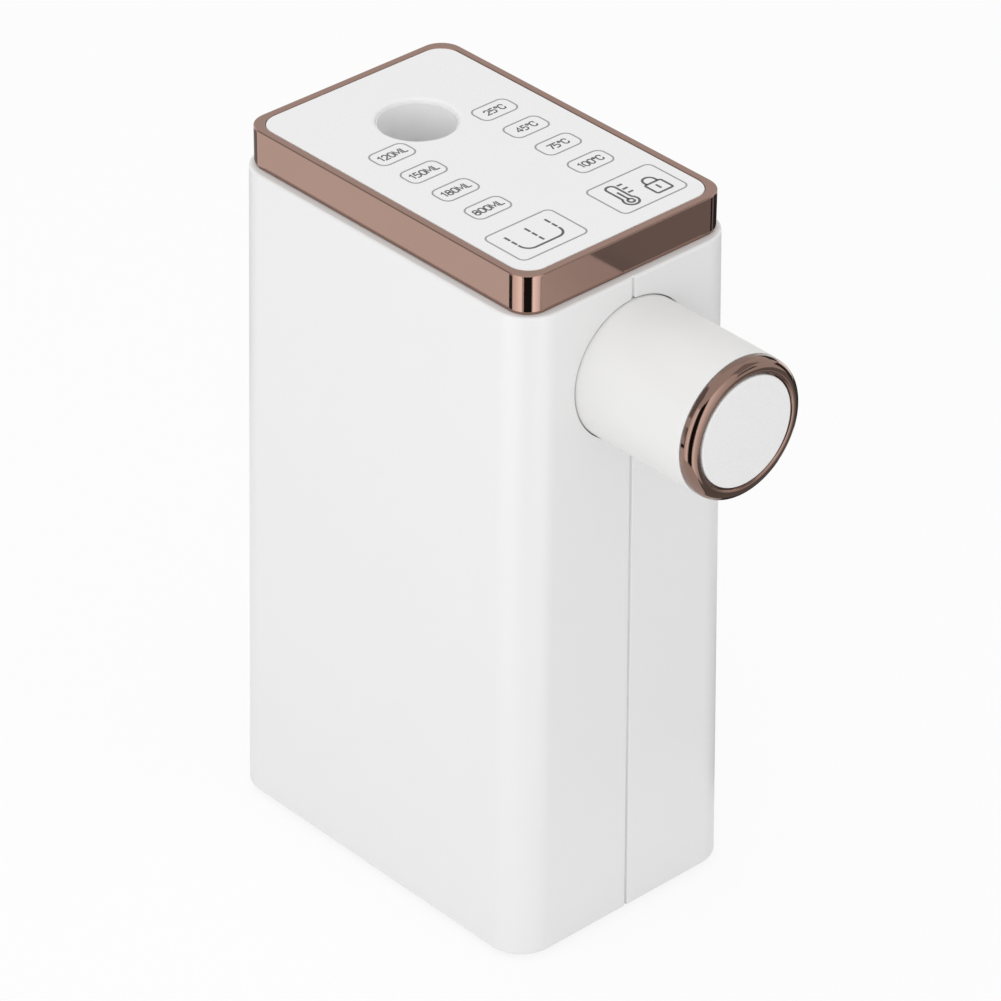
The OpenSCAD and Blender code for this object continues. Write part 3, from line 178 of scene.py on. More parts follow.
HOUSING_WHITE = Finish("satin_white_plastic", (0.83, 0.83, 0.83), 0.42, tone=0.006)
# The housing's white plastic made a little darker for the spout: painted shade.
SHADED_SPOUT_WHITE = Finish("soft_white_plastic", (0.80, 0.797, 0.79), 0.42, tone=0.006)
PANEL_WHITE = Finish("glossy_white_plastic", (0.86, 0.86, 0.86), 0.26, tone=0.004,
                     grain_height=0.001 * MM)
ROSE_GOLD = Finish("rose_gold_plating", (0.36, 0.232, 0.19), 0.08, metallic=1.0, tone=0.02,
                   grain_height=0.0004 * MM)
# The trim's rose-gold plating darkened for the spout's end ring: painted shade, the same metal as
# the trim.
SHADED_ROSE_GOLD = Finish("deep_rose_gold_plating", (0.26, 0.168, 0.137), 0.09, metallic=1.0,
                        tone=0.02, grain_height=0.0004 * MM)
# A lighter copy of the white plastic for the bottle well: painted light, so that the deep well's
# inside reads bright.
LIT_WELL_WHITE = Finish("bright_white_plastic", (0.95, 0.95, 0.95), 0.4, tone=0.004)
PALE_SILICONE = Finish("pale_silicone", (0.72, 0.72, 0.72), 0.55, tone=0.02)
PRINT_GREY = Finish("grey_print", (0.10, 0.10, 0.105), 0.45, tone=0.06)
PRINT_PALE = Finish("pale_grey_print", (0.32, 0.32, 0.325), 0.45, tone=0.05)
INNER_WHITE = Finish("natural_nylon", (0.74, 0.73, 0.70), 0.45, tone=0.03)
RUBBER_GREY = Finish("grey_silicone", (0.20, 0.20, 0.21), 0.62, tone=0.05,
                     grain_height=0.01 * MM)
HOSE_CLEAR = Finish("milky_silicone_hose", (0.78, 0.79, 0.78), 0.28, transmission=0.55)
STEEL = Finish("drawn_stainless_steel", (0.55, 0.55, 0.56), 0.30, metallic=1.0,
               grain=Grain.DRAWN_UP, tone=0.04)
BLACK_PLASTIC = Finish("black_glass_filled_nylon", (0.018, 0.018, 0.020), 0.38, tone=0.15,
                       grain_height=0.01 * MM)
BOARD_GREEN = Finish("green_solder_mask", (0.012, 0.11, 0.045), 0.30, coat=0.4, tone=0.12,
                     grain_size=2 * MM)
BRASS = Finish("drawn_brass", (0.60, 0.43, 0.16), 0.28, metallic=1.0,
               grain=Grain.DRAWN_ACROSS, tone=0.05)
SWITCH_MARK = Finish("white_switch_mark", (0.80, 0.80, 0.80), 0.5, tone=0.02)

CARRIED_OVER: dict[Finish, tuple[str, ...]] = {
    HOUSING_WHITE: ("base_plate",),
    INNER_WHITE: ("valve_seat", "valve_body", "meter_cap", "meter_body", "pump_impeller",
                  "outlet_pipe"),
    RUBBER_GREY: ("touch_pads", "pump_seal", "pump_mount"),
    HOSE_CLEAR: ("upper_hose", "lower_hose", "pump_hose", "outlet_elbow"),
    STEEL: ("base_screws", "trim_screws", "touch_screws", "inlet_strainer", "meter_pin",
            "pump_shaft", "pump_motor", "pump_screws", "heater_tube", "heater_brackets",
            "bracket_screws", "spout_screws", "spine", "spine_screws", "heat_sink"),
    BLACK_PLASTIC: ("valve_poppet", "flow_turbine", "pump_cover", "pump_housing",
                    "heater_low_cap", "heater_high_cap", "thermal_cutout", "relay",
                    "capacitors"),
    BOARD_GREEN: ("touch_board", "main_board", "terminal_block"),
    BRASS: ("outlet_probe", "transformer", "inlet_pins"),
}


@dataclass
class Surface:
    """Points of a skin, and the faces that join them by number."""

    points: Array
    faces: Array

    def __add__(self, other: "Surface") -> "Surface":
        """Put two skins into one."""
        return Surface(np.vstack([self.points, other.points]),
                       np.vstack([self.faces, other.faces + len(self.points)]))


def joined(surfaces: Sequence[Surface]) -> Surface:
    """Put several skins into one."""
    return sum(surfaces[1:], surfaces[0])


def node_box(node: str) -> tuple[Array, Array]:
    """Give a CAD node's lowest and highest corners as arrays."""
    low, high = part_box(node)
    return np.array(low), np.array(high)


def grid_surface(grid: Array, wrap_rows: bool = False, wrap_columns: bool = False) -> Surface:
    """Join a grid of points into four-sided faces.

    Face (i, j) takes the points (i, j), (i, j + 1), (i + 1, j + 1) and (i + 1, j).

    Args:
        grid: Points as rows by columns by three.
        wrap_rows: Whether the last row joins the first.
        wrap_columns: Whether the last column joins the first.

    Returns:
        The skin.
    """
    rows, columns = grid.shape[:2]
    i = np.arange(rows if wrap_rows else rows - 1)[:, None]
    j = np.arange(columns if wrap_columns else columns - 1)[None, :]
    i_next, j_next = (i + 1) % rows, (j + 1) % columns
    corners = np.broadcast_arrays(i * columns + j, i * columns + j_next,
                                  i_next * columns + j_next, i_next * columns + j)
    return Surface(grid.reshape(-1, 3), np.stack(corners, axis=-1).reshape(-1, 4))


def rounded_path(corners: Sequence[Sequence[float]], radii: Sequence[float],
                 closed: bool = True, steps: int = ARC_STEPS) -> Array:
    """Round the corners of a flat path with arcs.

    Where the path turns by angle t from direction a, with n the unit normal on the inside of
    the turn, the arc of radius r starts r tan(t / 2) before the corner. Its centre c lies r
    along n from there, and its points are c + r (sin(k t) a - cos(k t) n) for k from 0 to 1.

    Args:
        corners: The corners in order.
        radii: One radius for each corner; ends of an open path take 0.
        closed: Whether the last corner joins the first.
        steps: Pieces in each arc.

    Returns:
        The points of the rounded path.
    """
    corner = np.asarray(corners, dtype=float)
    radius = np.asarray(radii, dtype=float)[:, None]
    before = corner - np.roll(corner, 1, axis=0)
    after = np.roll(corner, -1, axis=0) - corner
    if not closed:
        before[0], after[-1] = after[0], before[-1]
    before /= np.linalg.norm(before, axis=1, keepdims=True)
    after /= np.linalg.norm(after, axis=1, keepdims=True)
    cross = before[:, 0] * after[:, 1] - before[:, 1] * after[:, 0]
    turn = np.arctan2(cross, np.sum(before * after, axis=1))[:, None]
    inside = np.sign(turn) * np.stack([-before[:, 1], before[:, 0]], axis=1)
    centre = corner - before * radius * np.tan(np.abs(turn) / 2) + inside * radius
    angle = (np.abs(turn) * np.linspace(0, 1, steps + 1))[:, :, None]
    arcs = centre[:, None] + radius[:, None] * (
        np.sin(angle) * before[:, None] - np.cos(angle) * inside[:, None])
    path = arcs.reshape(-1, 2)
    return path if closed else path[steps:-steps]


def right_hand(path: Array) -> Array:
    """Give the unit normal on the right of an open path, at the middle of each turn.

    Args:
        path: Flat points, none of them repeated.

    Returns:
        One normal for each point.
    """
    way = np.diff(path, axis=0)
    way /= np.linalg.norm(way, axis=1, keepdims=True)
    middle = np.vstack([way[:1], way[:-1] + way[1:], way[-1:]])
    middle /= np.linalg.norm(middle, axis=1, keepdims=True)
    return np.stack([middle[:, 1], -middle[:, 0]], axis=1)


def revolve(profile: Array, origin: Sequence[float], axis: Sequence[float],
            across: Sequence[float], steps: int = 128, closed: bool = True) -> Surface:
    """Turn a profile about an axis.

    Point (i, j) is origin + height_i axis + radius_i (cos t_j across + sin t_j axis x across),
    with t_j running once round.

    Args:
        profile: Pairs of radius and height.
        origin: Where the height is 0.
        axis: Unit direction of the height.
        across: Unit direction at angle 0.
        steps: Points round the axis.
        closed: Whether the profile's last point joins its first.

    Returns:
        The skin.
    """
    t = np.arange(steps) * (2 * math.pi / steps)
    spoke = (np.cos(t)[:, None] * np.asarray(across)
             + np.sin(t)[:, None] * np.cross(axis, across))
    grid = (np.asarray(origin) + profile[:, 1, None, None] * np.asarray(axis)
            + profile[:, 0, None, None] * spoke[None])
    return grid_surface(grid, wrap_rows=closed, wrap_columns=True)


def printed_line(path: Array, width: float, rise: float, closed: bool) -> Surface:
    """Make a line of even width along a flat path, as thick as print.

    At each point the line reaches half its width to both sides along the mitred normal, and
    its square section runs from just under the face at z = 0 to the print's top. An open line
    closes on its own end points.

    Args:
        path: Flat points.
        width: Width of the line.
        rise: How far the print stands up.
        closed: Whether the path joins its start.

    Returns:
        The closed skin.
    """
    path = path[np.linalg.norm(path - np.roll(path, 1, axis=0), axis=1) > MERGE]
    way = np.roll(path, -1, axis=0) - path
    way /= np.linalg.norm(way, axis=1, keepdims=True)
    before = np.roll(way, 1, axis=0)
    if not closed:
        way[-1], before[0] = before[-1], way[0]
    middle = way + before
    middle /= np.linalg.norm(middle, axis=1, keepdims=True)
    mitre = width / 2 / np.maximum(np.sum(middle * way, axis=1), MITRE)
    normal = np.stack([-middle[:, 1], middle[:, 0]], axis=1) * mitre[:, None]
    left, right = path + normal, path - normal
    if not closed:
        left, right = (np.vstack([path[:1], side, path[-1:]]) for side in (left, right))
    flat = np.stack([left, left, right, right], axis=1)
    height = np.broadcast_to(np.array([-rise, rise, rise, -rise])[None, :, None],
                             flat.shape[:2] + (1,)).copy()
    if not closed:
        height[[0, -1]] = 0.0
    return grid_surface(np.concatenate([flat, height], axis=-1), wrap_rows=closed,
                        wrap_columns=True)


@dataclass(frozen=True)
class Outline:
    """A rectangle with arced corners, about a centre, that keeps its points when inset.

    Attributes:
        half_x: Half of its width.
        half_y: Half of its depth.
        radius: Radius of its corners.
        centre: Its middle in x and y.
        corner_steps: Pieces in each corner's arc.
        edge_steps: Pieces in each straight edge.
    """

    half_x: float
    half_y: float
    radius: float
    centre: Pair = (0.0, 0.0)
    corner_steps: int = 14
    edge_steps: int = 1

    def rings(self, insets: Sequence[float], heights: Sequence[float]) -> Array:
        """Stack the outline at several insets and heights.

        Each point is c + (radius - inset) n, with c the arc's centre or its run along an edge
        and n the outward normal there.

        Args:
            insets: Distance inside the outline, ring by ring.
            heights: Height, ring by ring.

        Returns:
            A grid of rings by points by three.
        """
        turn = np.linspace(0, QUARTER, self.corner_steps + 1)
        angle = turn[None] + QUARTER * np.arange(4)[:, None]
        normal = np.stack([np.cos(angle), np.sin(angle)], axis=-1)
        sign = np.array([[1, 1], [-1, 1], [-1, -1], [1, -1]])
        middle = sign * (self.half_x - self.radius, self.half_y - self.radius)
        share = (np.arange(1, self.edge_steps) / self.edge_steps)[None, :, None]
        run = middle[:, None] * (1 - share) + np.roll(middle, -1, axis=0)[:, None] * share
        arc_middle = np.repeat(middle[:, None], self.corner_steps + 1, axis=1)
        c = np.concatenate([arc_middle, run], axis=1).reshape(-1, 2) + self.centre
        n = np.concatenate([normal, np.repeat(normal[:, -1:], self.edge_steps - 1, axis=1)],
                           axis=1).reshape(-1, 2)
        flat = c[None] + (self.radius - np.asarray(insets))[:, None, None] * n[None]
        rise = np.broadcast_to(np.asarray(heights)[:, None, None], flat.shape[:2] + (1,))
        return np.concatenate([flat, rise], axis=-1)


def clean_mesh(name: str, surface: Surface) -> bpy.types.Mesh:
    """Make a mesh of a skin, with repeated points merged and its faces turned outwards.

    Args:
        name: Name of the mesh.
        surface: The skin.

    Returns:
        The new mesh.
    """
    mesh = bpy.data.meshes.new(name)
    mesh.from_pydata(surface.points.tolist(), [], surface.faces.tolist())
    work = bmesh.new()
    work.from_mesh(mesh)
    bmesh.ops.remove_doubles(work, verts=work.verts, dist=MERGE)
    bmesh.ops.recalc_face_normals(work, faces=work.faces)
    work.to_mesh(mesh)
    work.free()
    return mesh


def shade(mesh: bpy.types.Mesh, crease: float = CREASE) -> None:
    """Shade a mesh smooth, and keep edges sharp from the crease's angle in degrees."""
    mesh.shade_smooth()
    mesh.set_sharp_from_angle(angle=math.radians(crease))


def put_in_scene(name: str, data: bpy.types.ID) -> bpy.types.Object:
    """Make an object of some data and link it to the scene.

    Args:
        name: Name of the object.
        data: Its mesh, light or camera.

    Returns:
        The new object.
    """
    made = bpy.data.objects.new(name, data)
    bpy.context.scene.collection.objects.link(made)
    return made


def add_piece(name: str, surface: Surface, finish: Finish, body: str = "housing",
              replaced: Sequence[str] = (), crease: float = CREASE) -> bpy.types.Object:
    """Put a skin into the scene as a piece that moves with a body.

    Edges sharper than the crease stay sharp, and normals lean towards the larger faces.

    Args:
        name: Name of the piece.
        surface: Its skin.
        finish: Its finish.
        body: The body that it rides on.
        replaced: CAD nodes that it stands for.
        crease: Angle in degrees from which an edge is drawn sharp.

    Returns:
        The new object.
    """
    mesh = clean_mesh(name, surface)
    shade(mesh, crease)
    piece = put_in_scene(name, mesh)
    mesh.materials.append(finish.material())
    even = piece.modifiers.new("Even shading", "WEIGHTED_NORMAL")
    even.keep_sharp = True
    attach(piece, body)
    if replaced:
        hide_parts(*replaced)
    log.info("%s: %d faces on %s", name, len(mesh.polygons), body)
    return piece


@dataclass
class Rows:
    """Level rows of a housing half, each with where it meets the front and rear openings.

    Attributes:
        level: Height of the row round the corners and side.
        front: x and z of the row's front end, on the opening's edge.
        rear: x and z of its rear end.
        front_in: Direction from the front opening into the material.
        rear_in: Direction from the rear opening into the material.
        front_open: 0 where the front end is on the seam, 1 where it is on the spout's hole.
        rear_open: 0 where the rear end is on the seam, 1 where it is on the bay.
        inset: Distance that the row lies inside the outer face.
        tip: Angle of the inward normal below the level.
    """

    level: Array
    front: Array
    rear: Array
    front_in: Array
    rear_in: Array
    front_open: Array
    rear_open: Array
    inset: Array
    tip: Array

    @classmethod
    def plain(cls, level: Array, seam: float) -> "Rows":
        """Make rows that end on the seam at both ends.

        Args:
            level: Heights of the rows.
            seam: Half of the seam groove's width.

        Returns:
            The rows.
        """
        end = np.stack([np.full_like(level, seam), level], axis=1)
        inwards = np.tile([1.0, 0.0], (len(level), 1))
        none = np.zeros_like(level)
        return cls(level, end, end.copy(), inwards, inwards.copy(), none, none.copy(),
                   none.copy(), none.copy())

    @classmethod
    def stacked(cls, parts: Sequence["Rows"]) -> "Rows":
        """Put sets of rows on top of each other."""
        fields = zip(*(vars(part).values() for part in parts))
        return cls(*(np.concatenate(values) for values in fields))

    def picked(self, pick: slice) -> "Rows":
        """Give some of the rows."""
        return Rows(*(values[pick] for values in vars(self).values()))


@dataclass
class HousingShell:
    """Two moulded halves that meet in a groove down the front and the rear.

    Attributes:
        draft: How much each side draws in from the bottom to the ledge.
        corner: Radius of the upright corners.
        wall: Thickness of the wall.
        corner_steps: Pieces in an upright corner.
        face_steps: Pieces from an opening to an upright corner.
        foot_round: Rounding of the bottom edge.
        ledge_round: Rounding of the edge under the trim.
        ledge_steps: Pieces in that rounding.
        lip_round: Rounding of the edges of the groove, hole and bay.
        lip_shares: Shares of their depth where the sides of the hole and bay have points.
        seam_half: Half of the groove's width.
        seam_depth: Depth of the groove.
        mouth: Width of the ledge round the mouth.
        hole: Radius of the spout's hole.
        hole_steps: Pieces in the hole's half.
        hole_spread: Height over which the rows beside the hole spread.
        hole_ramp: Shares of that height where the rows leave the seam and reach the hole.
        junction: Rounding where the seam meets an opening.
        stop: Length of the blocks behind the seam's ends.
        stop_gap: How far those blocks stay inside the faces round them.
        bay_half: Half of the rear bay's width.
        bay_height: Height of the rear bay.
        bay_middle: Height of the bay's middle.
        bay_depth: Depth of the bay.
        bay_round: Radius of the bay's corners.
        bay_wall: Thickness of the bay's sides.
        bay_foot: Height of the lowest faces inside the bay's sides.
        bay_margin: Height over which the rows above and below the bay spread.
        bay_ramp: Shares of that height between which the rows leave the seam.
        bay_lead: How far outside the bay the rows that follow its edge begin.
        window_lap: How far the flanges of the inlet and the switch lap the bay's floor.
        window_round: Radius of the corners of the floor's frames and windows.
        plain_levels: Lowest and highest of the rows between the bay and the hole.
        plain_rows: Number of those rows.
        low: Lowest corner of the housing's box.
        high: Its highest corner.
        spout_z: Height of the spout's axis.
    """

    draft: float = 2.8 * MM
    corner: float = 13 * MM
    wall: float = 2.5 * MM
    corner_steps: int = 18
    face_steps: int = 6
    foot_round: float = 0.7 * MM
    ledge_round: float = 1.0 * MM
    ledge_steps: int = 8
    lip_round: float = 0.25 * MM
    lip_shares: Floats = (1.0, 0.7, 0.4)
    seam_half: float = 0.6 * MM
    seam_depth: float = 1.0 * MM
    mouth: float = 7.0 * MM
    hole: float = 24.35 * MM
    hole_steps: int = 56
    hole_spread: float = 30 * MM
    hole_ramp: Pair = (1.03, 1.005)
    junction: float = 0.8 * MM
    stop: float = 1.7 * MM
    stop_gap: float = 0.05 * MM
    bay_half: float = 17.5 * MM
    bay_height: float = 55.7 * MM
    bay_middle: float = 46 * MM
    bay_depth: float = 4.5 * MM
    bay_round: float = 1.2 * MM
    bay_wall: float = 0.7 * MM
    bay_foot: float = 0.5 * MM
    bay_margin: float = 9 * MM
    bay_ramp: Pair = (0.2, 0.3)
    bay_lead: float = 0.6 * MM
    window_lap: float = 2.0 * MM
    window_round: float = 0.2 * MM
    plain_levels: Pair = (90 * MM, 168 * MM)
    plain_rows: int = 4
    low: Array = field(init=False)
    high: Array = field(init=False)
    spout_z: float = field(init=False)

    def __post_init__(self) -> None:
        """Read the housing's box and the spout's height."""
        self.low, _ = node_box("left_housing")
        _, self.high = node_box("right_housing")
        tube_low, tube_high = node_box("spout_tube")
        self.spout_z = (tube_low[2] + tube_high[2]) / 2

    @property
    def middle_y(self) -> float:
        """Where the body's own axis stands."""
        return (self.low[1] + self.high[1]) / 2

    @property
    def half_y(self) -> float:
        """Half of the body's depth at the bottom."""
        return (self.high[1] - self.low[1]) / 2

    @property
    def lean(self) -> float:
        """How much the sides draw in for each unit of height."""
        return self.draft / (self.high[2] - self.low[2])

    def drawn_in(self, z: Array) -> Array:
        """Give how far the draft has drawn the sides in at height z."""
        return self.lean * (z - self.low[2])

    def hole_rows(self) -> Rows:
        """Make the rows that pass the spout's hole.

        The edge climbs the seam, turns on an arc of the junction's radius that touches the seam
        and the hole, follows the hole's right half and turns back on to the seam.

        Returns:
            The rows.
        """
        reach = self.hole + self.junction
        side = self.seam_half + self.junction
        drop = math.sqrt(reach ** 2 - side ** 2)
        start = math.atan2(-drop, side)
        turn = np.linspace(math.pi, start + math.pi, ARC_STEPS + 1)[:-1]
        lower = np.stack([side + self.junction * np.cos(turn),
                          -drop + self.junction * np.sin(turn)], axis=1)
        round_hole = np.linspace(start, -start, self.hole_steps + 1)
        edge = self.hole * np.stack([np.cos(round_hole), np.sin(round_hole)], axis=1)
        upper = lower[::-1] * (1, -1)
        path = np.vstack([lower, edge, upper])
        spread = self.hole_spread
        ramp = np.linspace(*self.hole_ramp, len(lower)) * spread
        level = np.concatenate([-ramp, spread * round_hole / QUARTER, ramp[::-1]])
        rows = Rows.plain(level + self.spout_z, self.seam_half)
        rows.front = path + (0, self.spout_z)
        rows.front_in = right_hand(path)
        grow = np.linspace(0, 1, len(lower))
        rows.front_open = np.concatenate([grow, np.ones(len(edge)), grow[::-1]])
        return rows

    def bay_rows(self) -> Rows:
        """Make the rows that pass the rear bay.

        The edge climbs the seam, follows the right half of a rectangle with arced corners and
        goes back to the seam. Beside the bay the rows are level; above and below they spread.

        Returns:
            The rows.
        """
        low = self.bay_middle - self.bay_height / 2
        high = self.bay_middle + self.bay_height / 2
        bottom, top = low - self.bay_margin, high + self.bay_margin
        seam, side = self.seam_half, self.bay_half
        path = rounded_path(
            [(seam, bottom), (seam, low), (side, low), (side, high), (seam, high), (seam, top)],
            [0, self.junction, self.bay_round, self.bay_round, self.junction, 0], closed=False)
        count = ARC_STEPS + 1
        share = np.linspace(0, 1, count)
        rise = np.concatenate([
            [bottom], bottom + self.bay_margin * np.linspace(*self.bay_ramp, count),
            np.linspace(low - self.bay_lead, low + self.bay_round, count)])
        level = np.concatenate([rise, (2 * self.bay_middle - rise)[::-1]])
        rows = Rows.plain(level, seam)
        rows.rear = path
        rows.rear_in = right_hand(path)
        grow = np.concatenate([[0], share, np.ones(count)])
        rows.rear_open = np.concatenate([grow, grow[::-1]])
        return rows

    def rows(self) -> Rows:
        """Stack all rows from the foot to the mouth, with the first and the last one twice.

        Returns:
            The rows.
        """
        foot, ledge = self.low[2], self.high[2]
        bottom = Rows.plain(foot + self.foot_round * (1 - np.cos(BEND)), self.seam_half)
        bottom.inset = self.foot_round * (1 - np.sin(BEND))
        bend = np.linspace(0, QUARTER, self.ledge_steps + 1)
        shoulder = Rows.plain(ledge - self.ledge_round * (1 - np.sin(bend)), self.seam_half)
        shoulder.inset = self.ledge_round * (1 - np.cos(bend))
        shoulder.tip = bend
        shelf = Rows.plain(np.full(2, ledge), self.seam_half)
        shelf.inset = np.array([self.mouth / 2, self.mouth])
        shelf.tip = np.full(2, QUARTER)
        between = Rows.plain(np.linspace(*self.plain_levels, self.plain_rows), self.seam_half)
        return Rows.stacked([bottom.picked(slice(0, 1)), bottom, self.bay_rows(), between,
                             self.hole_rows(), shoulder, shelf, shelf.picked(slice(-1, None))])

    def half_face(self, rows: Rows, path: Array, inwards: Array, lip: Array,
                  inset: Array, level: Array, side: int) -> Array:
        """Make one half of the front or rear face, from its opening to the corner.

        The lip's points lie along the direction into the material by their first number and
        along the inward normal by their second. From the lip's end the face is ruled straight
        to the corner's start, and y follows from the drafted plane at each height.

        Args:
            rows: All rows.
            path: x and z of the opening's edge, row by row.
            inwards: Direction into the material, row by row.
            lip: The lip's points, row by row.
            inset: Distance inside the outer face, row by row.
            level: Height at the corner, row by row.
            side: -1 for the front and 1 for the rear.

        Returns:
            The grid of rows by columns.
        """
        along, deep = lip[:, :, 0], lip[:, :, 1]
        edge_x = path[:, :1] + inwards[:, :1] * along
        edge_z = path[:, 1:] + inwards[:, 1:] * along - np.sin(rows.tip)[:, None] * deep
        edge_in = inset[:, None] + np.cos(rows.tip)[:, None] * deep
        share = np.linspace(0, 1, self.face_steps + 1)[None, 1:]
        end_x = (self.high[0] - self.drawn_in(level) - self.corner)[:, None]
        x = np.hstack([edge_x, edge_x[:, -1:] * (1 - share) + end_x * share])
        z = np.hstack([edge_z, edge_z[:, -1:] * (1 - share) + level[:, None] * share])
        inside = np.hstack([edge_in, np.repeat(inset[:, None], share.shape[1], axis=1)])
        y = side * (self.half_y - self.drawn_in(z) - inside) + self.middle_y
        return np.stack([x, y, z], axis=-1)

    def skin(self, rows: Rows, inset: Array, level: Array, front: Array,
             rear: Array, front_lip: Array, rear_lip: Array) -> Array:
        """Make the right half's outer or inner skin.

        It runs along the front face, round the front corner, along the side, round the rear
        corner and back along the rear face. A corner's points are its centre plus the radius
        less the inset times (cos t, sin t).

        Args:
            rows: All rows.
            inset: Distance inside the outer face, row by row.
            level: Height round the corners, row by row.
            front: x and z of the front opening's edge.
            rear: x and z of the rear opening's edge.
            front_lip: The front lip's points, row by row.
            rear_lip: The rear lip's points, row by row.

        Returns:
            The grid of rows by columns.
        """
        angle = np.linspace(0, QUARTER, self.corner_steps + 1)[None]
        radius = (self.corner - inset)[:, None]
        centre_x = (self.high[0] - self.drawn_in(level) - self.corner)[:, None]
        centre_y = (self.half_y - self.drawn_in(level) - self.corner)[:, None]
        z = np.broadcast_to(level[:, None], (len(level), angle.shape[1]))
        round_x = centre_x + radius * np.cos(angle)
        round_y = centre_y + radius * np.sin(angle)
        rear_corner = np.stack([round_x, self.middle_y + round_y, z], axis=-1)
        front_corner = np.stack([round_x, self.middle_y - round_y, z], axis=-1)[:, ::-1]
        front_face = self.half_face(rows, front, rows.front_in, front_lip, inset, level, -1)
        rear_face = self.half_face(rows, rear, rows.rear_in, rear_lip, inset, level, 1)
        return np.concatenate([front_face, front_corner, rear_corner, rear_face[:, ::-1]], axis=1)

    def lips(self) -> dict[str, Array]:
        """Give the edge shapes of the groove, hole and bay, outside and inside the wall.

        Returns:
            For each shape its points, as distances into the material and inside the face.
        """
        crown = self.lip_round * np.stack([1 - np.cos(BEND), 1 - np.sin(BEND)], axis=1)
        wall, seam, deep = self.wall, self.seam_half, self.bay_depth
        count = len(self.lip_shares) + len(crown)
        flat = np.stack([np.linspace(0, self.lip_round, count), np.full(count, wall)], axis=1)
        stay = np.stack([np.full(len(crown), self.bay_wall),
                         np.linspace(deep - self.bay_foot, wall, len(crown))], axis=1)
        seam_flat = flat.copy()
        seam_flat[:, 0] = np.linspace(-seam, self.lip_round, count)
        return {
            "seam": np.vstack([[(-seam, wall), (-seam, self.seam_depth), (0, self.seam_depth)],
                               crown]),
            "hole": np.vstack([[(0, wall * share) for share in self.lip_shares], crown]),
            "bay": np.vstack([[(0, deep * share) for share in self.lip_shares], crown]),
            "seam_inner": seam_flat,
            "hole_inner": flat,
            "bay_inner": np.vstack([[(0, deep), (self.bay_wall / 2, deep),
                                     (self.bay_wall, deep)], stay]),
        }

    def half(self) -> Surface:
        """Make the right half as a closed wall: outer and inner skins that meet at every edge.

        The groove gets shallower round the ledge's edge and ends on the ledge.

        Returns:
            The closed skin.
        """
        rows, lips = self.rows(), self.lips()
        front_open, rear_open = rows.front_open[:, None, None], rows.rear_open[:, None, None]
        fading = np.ones((len(rows.tip), 1, 2))
        fading[:, 0, 1] = 1 - rows.tip / QUARTER
        outer = self.skin(
            rows, rows.inset, rows.level, rows.front, rows.rear,
            (lips["seam"] * (1 - front_open) + lips["hole"] * front_open) * fading,
            (lips["seam"] * (1 - rear_open) + lips["bay"] * rear_open) * fading)
        ceiling = self.high[2] - self.wall
        upright = Rows(**{**vars(rows), "tip": np.zeros_like(rows.tip)})
        depth = (0.0, self.wall)
        inner = self.skin(
            upright, np.maximum(rows.inset, self.wall), np.minimum(rows.level, ceiling),
            np.minimum(rows.front, (1.0, ceiling)), np.minimum(rows.rear, (1.0, ceiling)),
            lips["seam_inner"] * (1 - front_open) + lips["hole_inner"] * front_open - depth,
            lips["seam_inner"] * (1 - rear_open) + lips["bay_inner"] * rear_open - depth)
        outer[0], outer[-1] = inner[0], inner[-1]
        outer[:, 0], outer[:, -1] = inner[:, 0], inner[:, -1]
        return grid_surface(outer) + grid_surface(inner)

    def bay_floor(self) -> Surface:
        """Make the bay's floor: two frames round the windows of the inlet and the switch.

        Each frame is a ring of four outlines: the outer edge at the front and the back of the
        floor, and the window's edge at the back and the front.

        Returns:
            The skin of both frames.
        """
        thick = self.wall / 2
        edge = self.bay_half + self.bay_wall / 2
        low = self.bay_middle - self.bay_height / 2 - self.bay_wall / 2
        high = self.bay_middle + self.bay_height / 2 + self.bay_wall / 2
        frames = []
        inlet_low, inlet_high = node_box("power_inlet")
        switch_low, switch_high = node_box("switch_frame")
        split = (inlet_high[2] + switch_low[2]) / 2
        for bottom, top, window_low, window_high in (
                (low, split, inlet_low, inlet_high), (split, high, switch_low, switch_high)):
            outer = Outline(edge, (top - bottom) / 2, self.window_round,
                            (0, (top + bottom) / 2), corner_steps=3)
            window = Outline((window_high[0] - window_low[0]) / 2 - self.window_lap,
                             (window_high[2] - window_low[2]) / 2 - self.window_lap,
                             self.window_round, (0, (window_high[2] + window_low[2]) / 2),
                             corner_steps=3)
            rings = np.concatenate([
                outer.rings([0, 0], [-thick, 0]), window.rings([0, 0], [0, -thick])])
            frames.append(grid_surface(rings, wrap_rows=True, wrap_columns=True))
        both = joined(frames)
        x, z, out = both.points.T
        face = self.high[1] - self.drawn_in(z) - self.bay_depth
        both.points = np.stack([x, face + out, z], axis=1)
        return both

    def seam_stop(self, edge: float, way: int, side: int, depth: float) -> Surface:
        """Make the block behind the groove where it meets an opening.

        Args:
            edge: Height of the opening's edge.
            way: 1 where the groove goes up from there, -1 where it goes down.
            side: -1 at the front and 1 at the rear.
            depth: How far the block reaches inside the face.

        Returns:
            The closed skin.
        """
        start = self.seam_depth + self.stop_gap
        thick = (depth - start) / 2
        ends = np.array([(0, edge + way * self.stop_gap), (0, edge + way * self.stop)])
        block = printed_line(ends, 2 * self.stop, thick, closed=False)
        x, z, deep = block.points.T
        y = side * (self.half_y - self.drawn_in(z) - start - thick - deep) + self.middle_y
        return Surface(np.stack([x, y, z], axis=1), block.faces)

    def build(self) -> None:
        """Make both halves, the bay's floor and the blocks behind the seam's ends."""
        right = self.half()
        left = Surface(right.points * (-1, 1, 1), right.faces)
        add_piece("right_half", right, HOUSING_WHITE,
                  replaced=("right_housing",))
        add_piece("left_half", left, HOUSING_WHITE, replaced=("left_housing",))
        add_piece("rear_bay_floor", self.bay_floor(), HOUSING_WHITE)
        stops = [self.seam_stop(middle + way * half, way, side, depth)
                 for middle, half, side, depth in (
                     (self.bay_middle, self.bay_height / 2, 1, self.bay_depth),
                     (self.spout_z, self.hole, -1, self.wall))
                 for way in (-1, 1)]
        add_piece("seam_stops", joined(stops), HOUSING_WHITE)


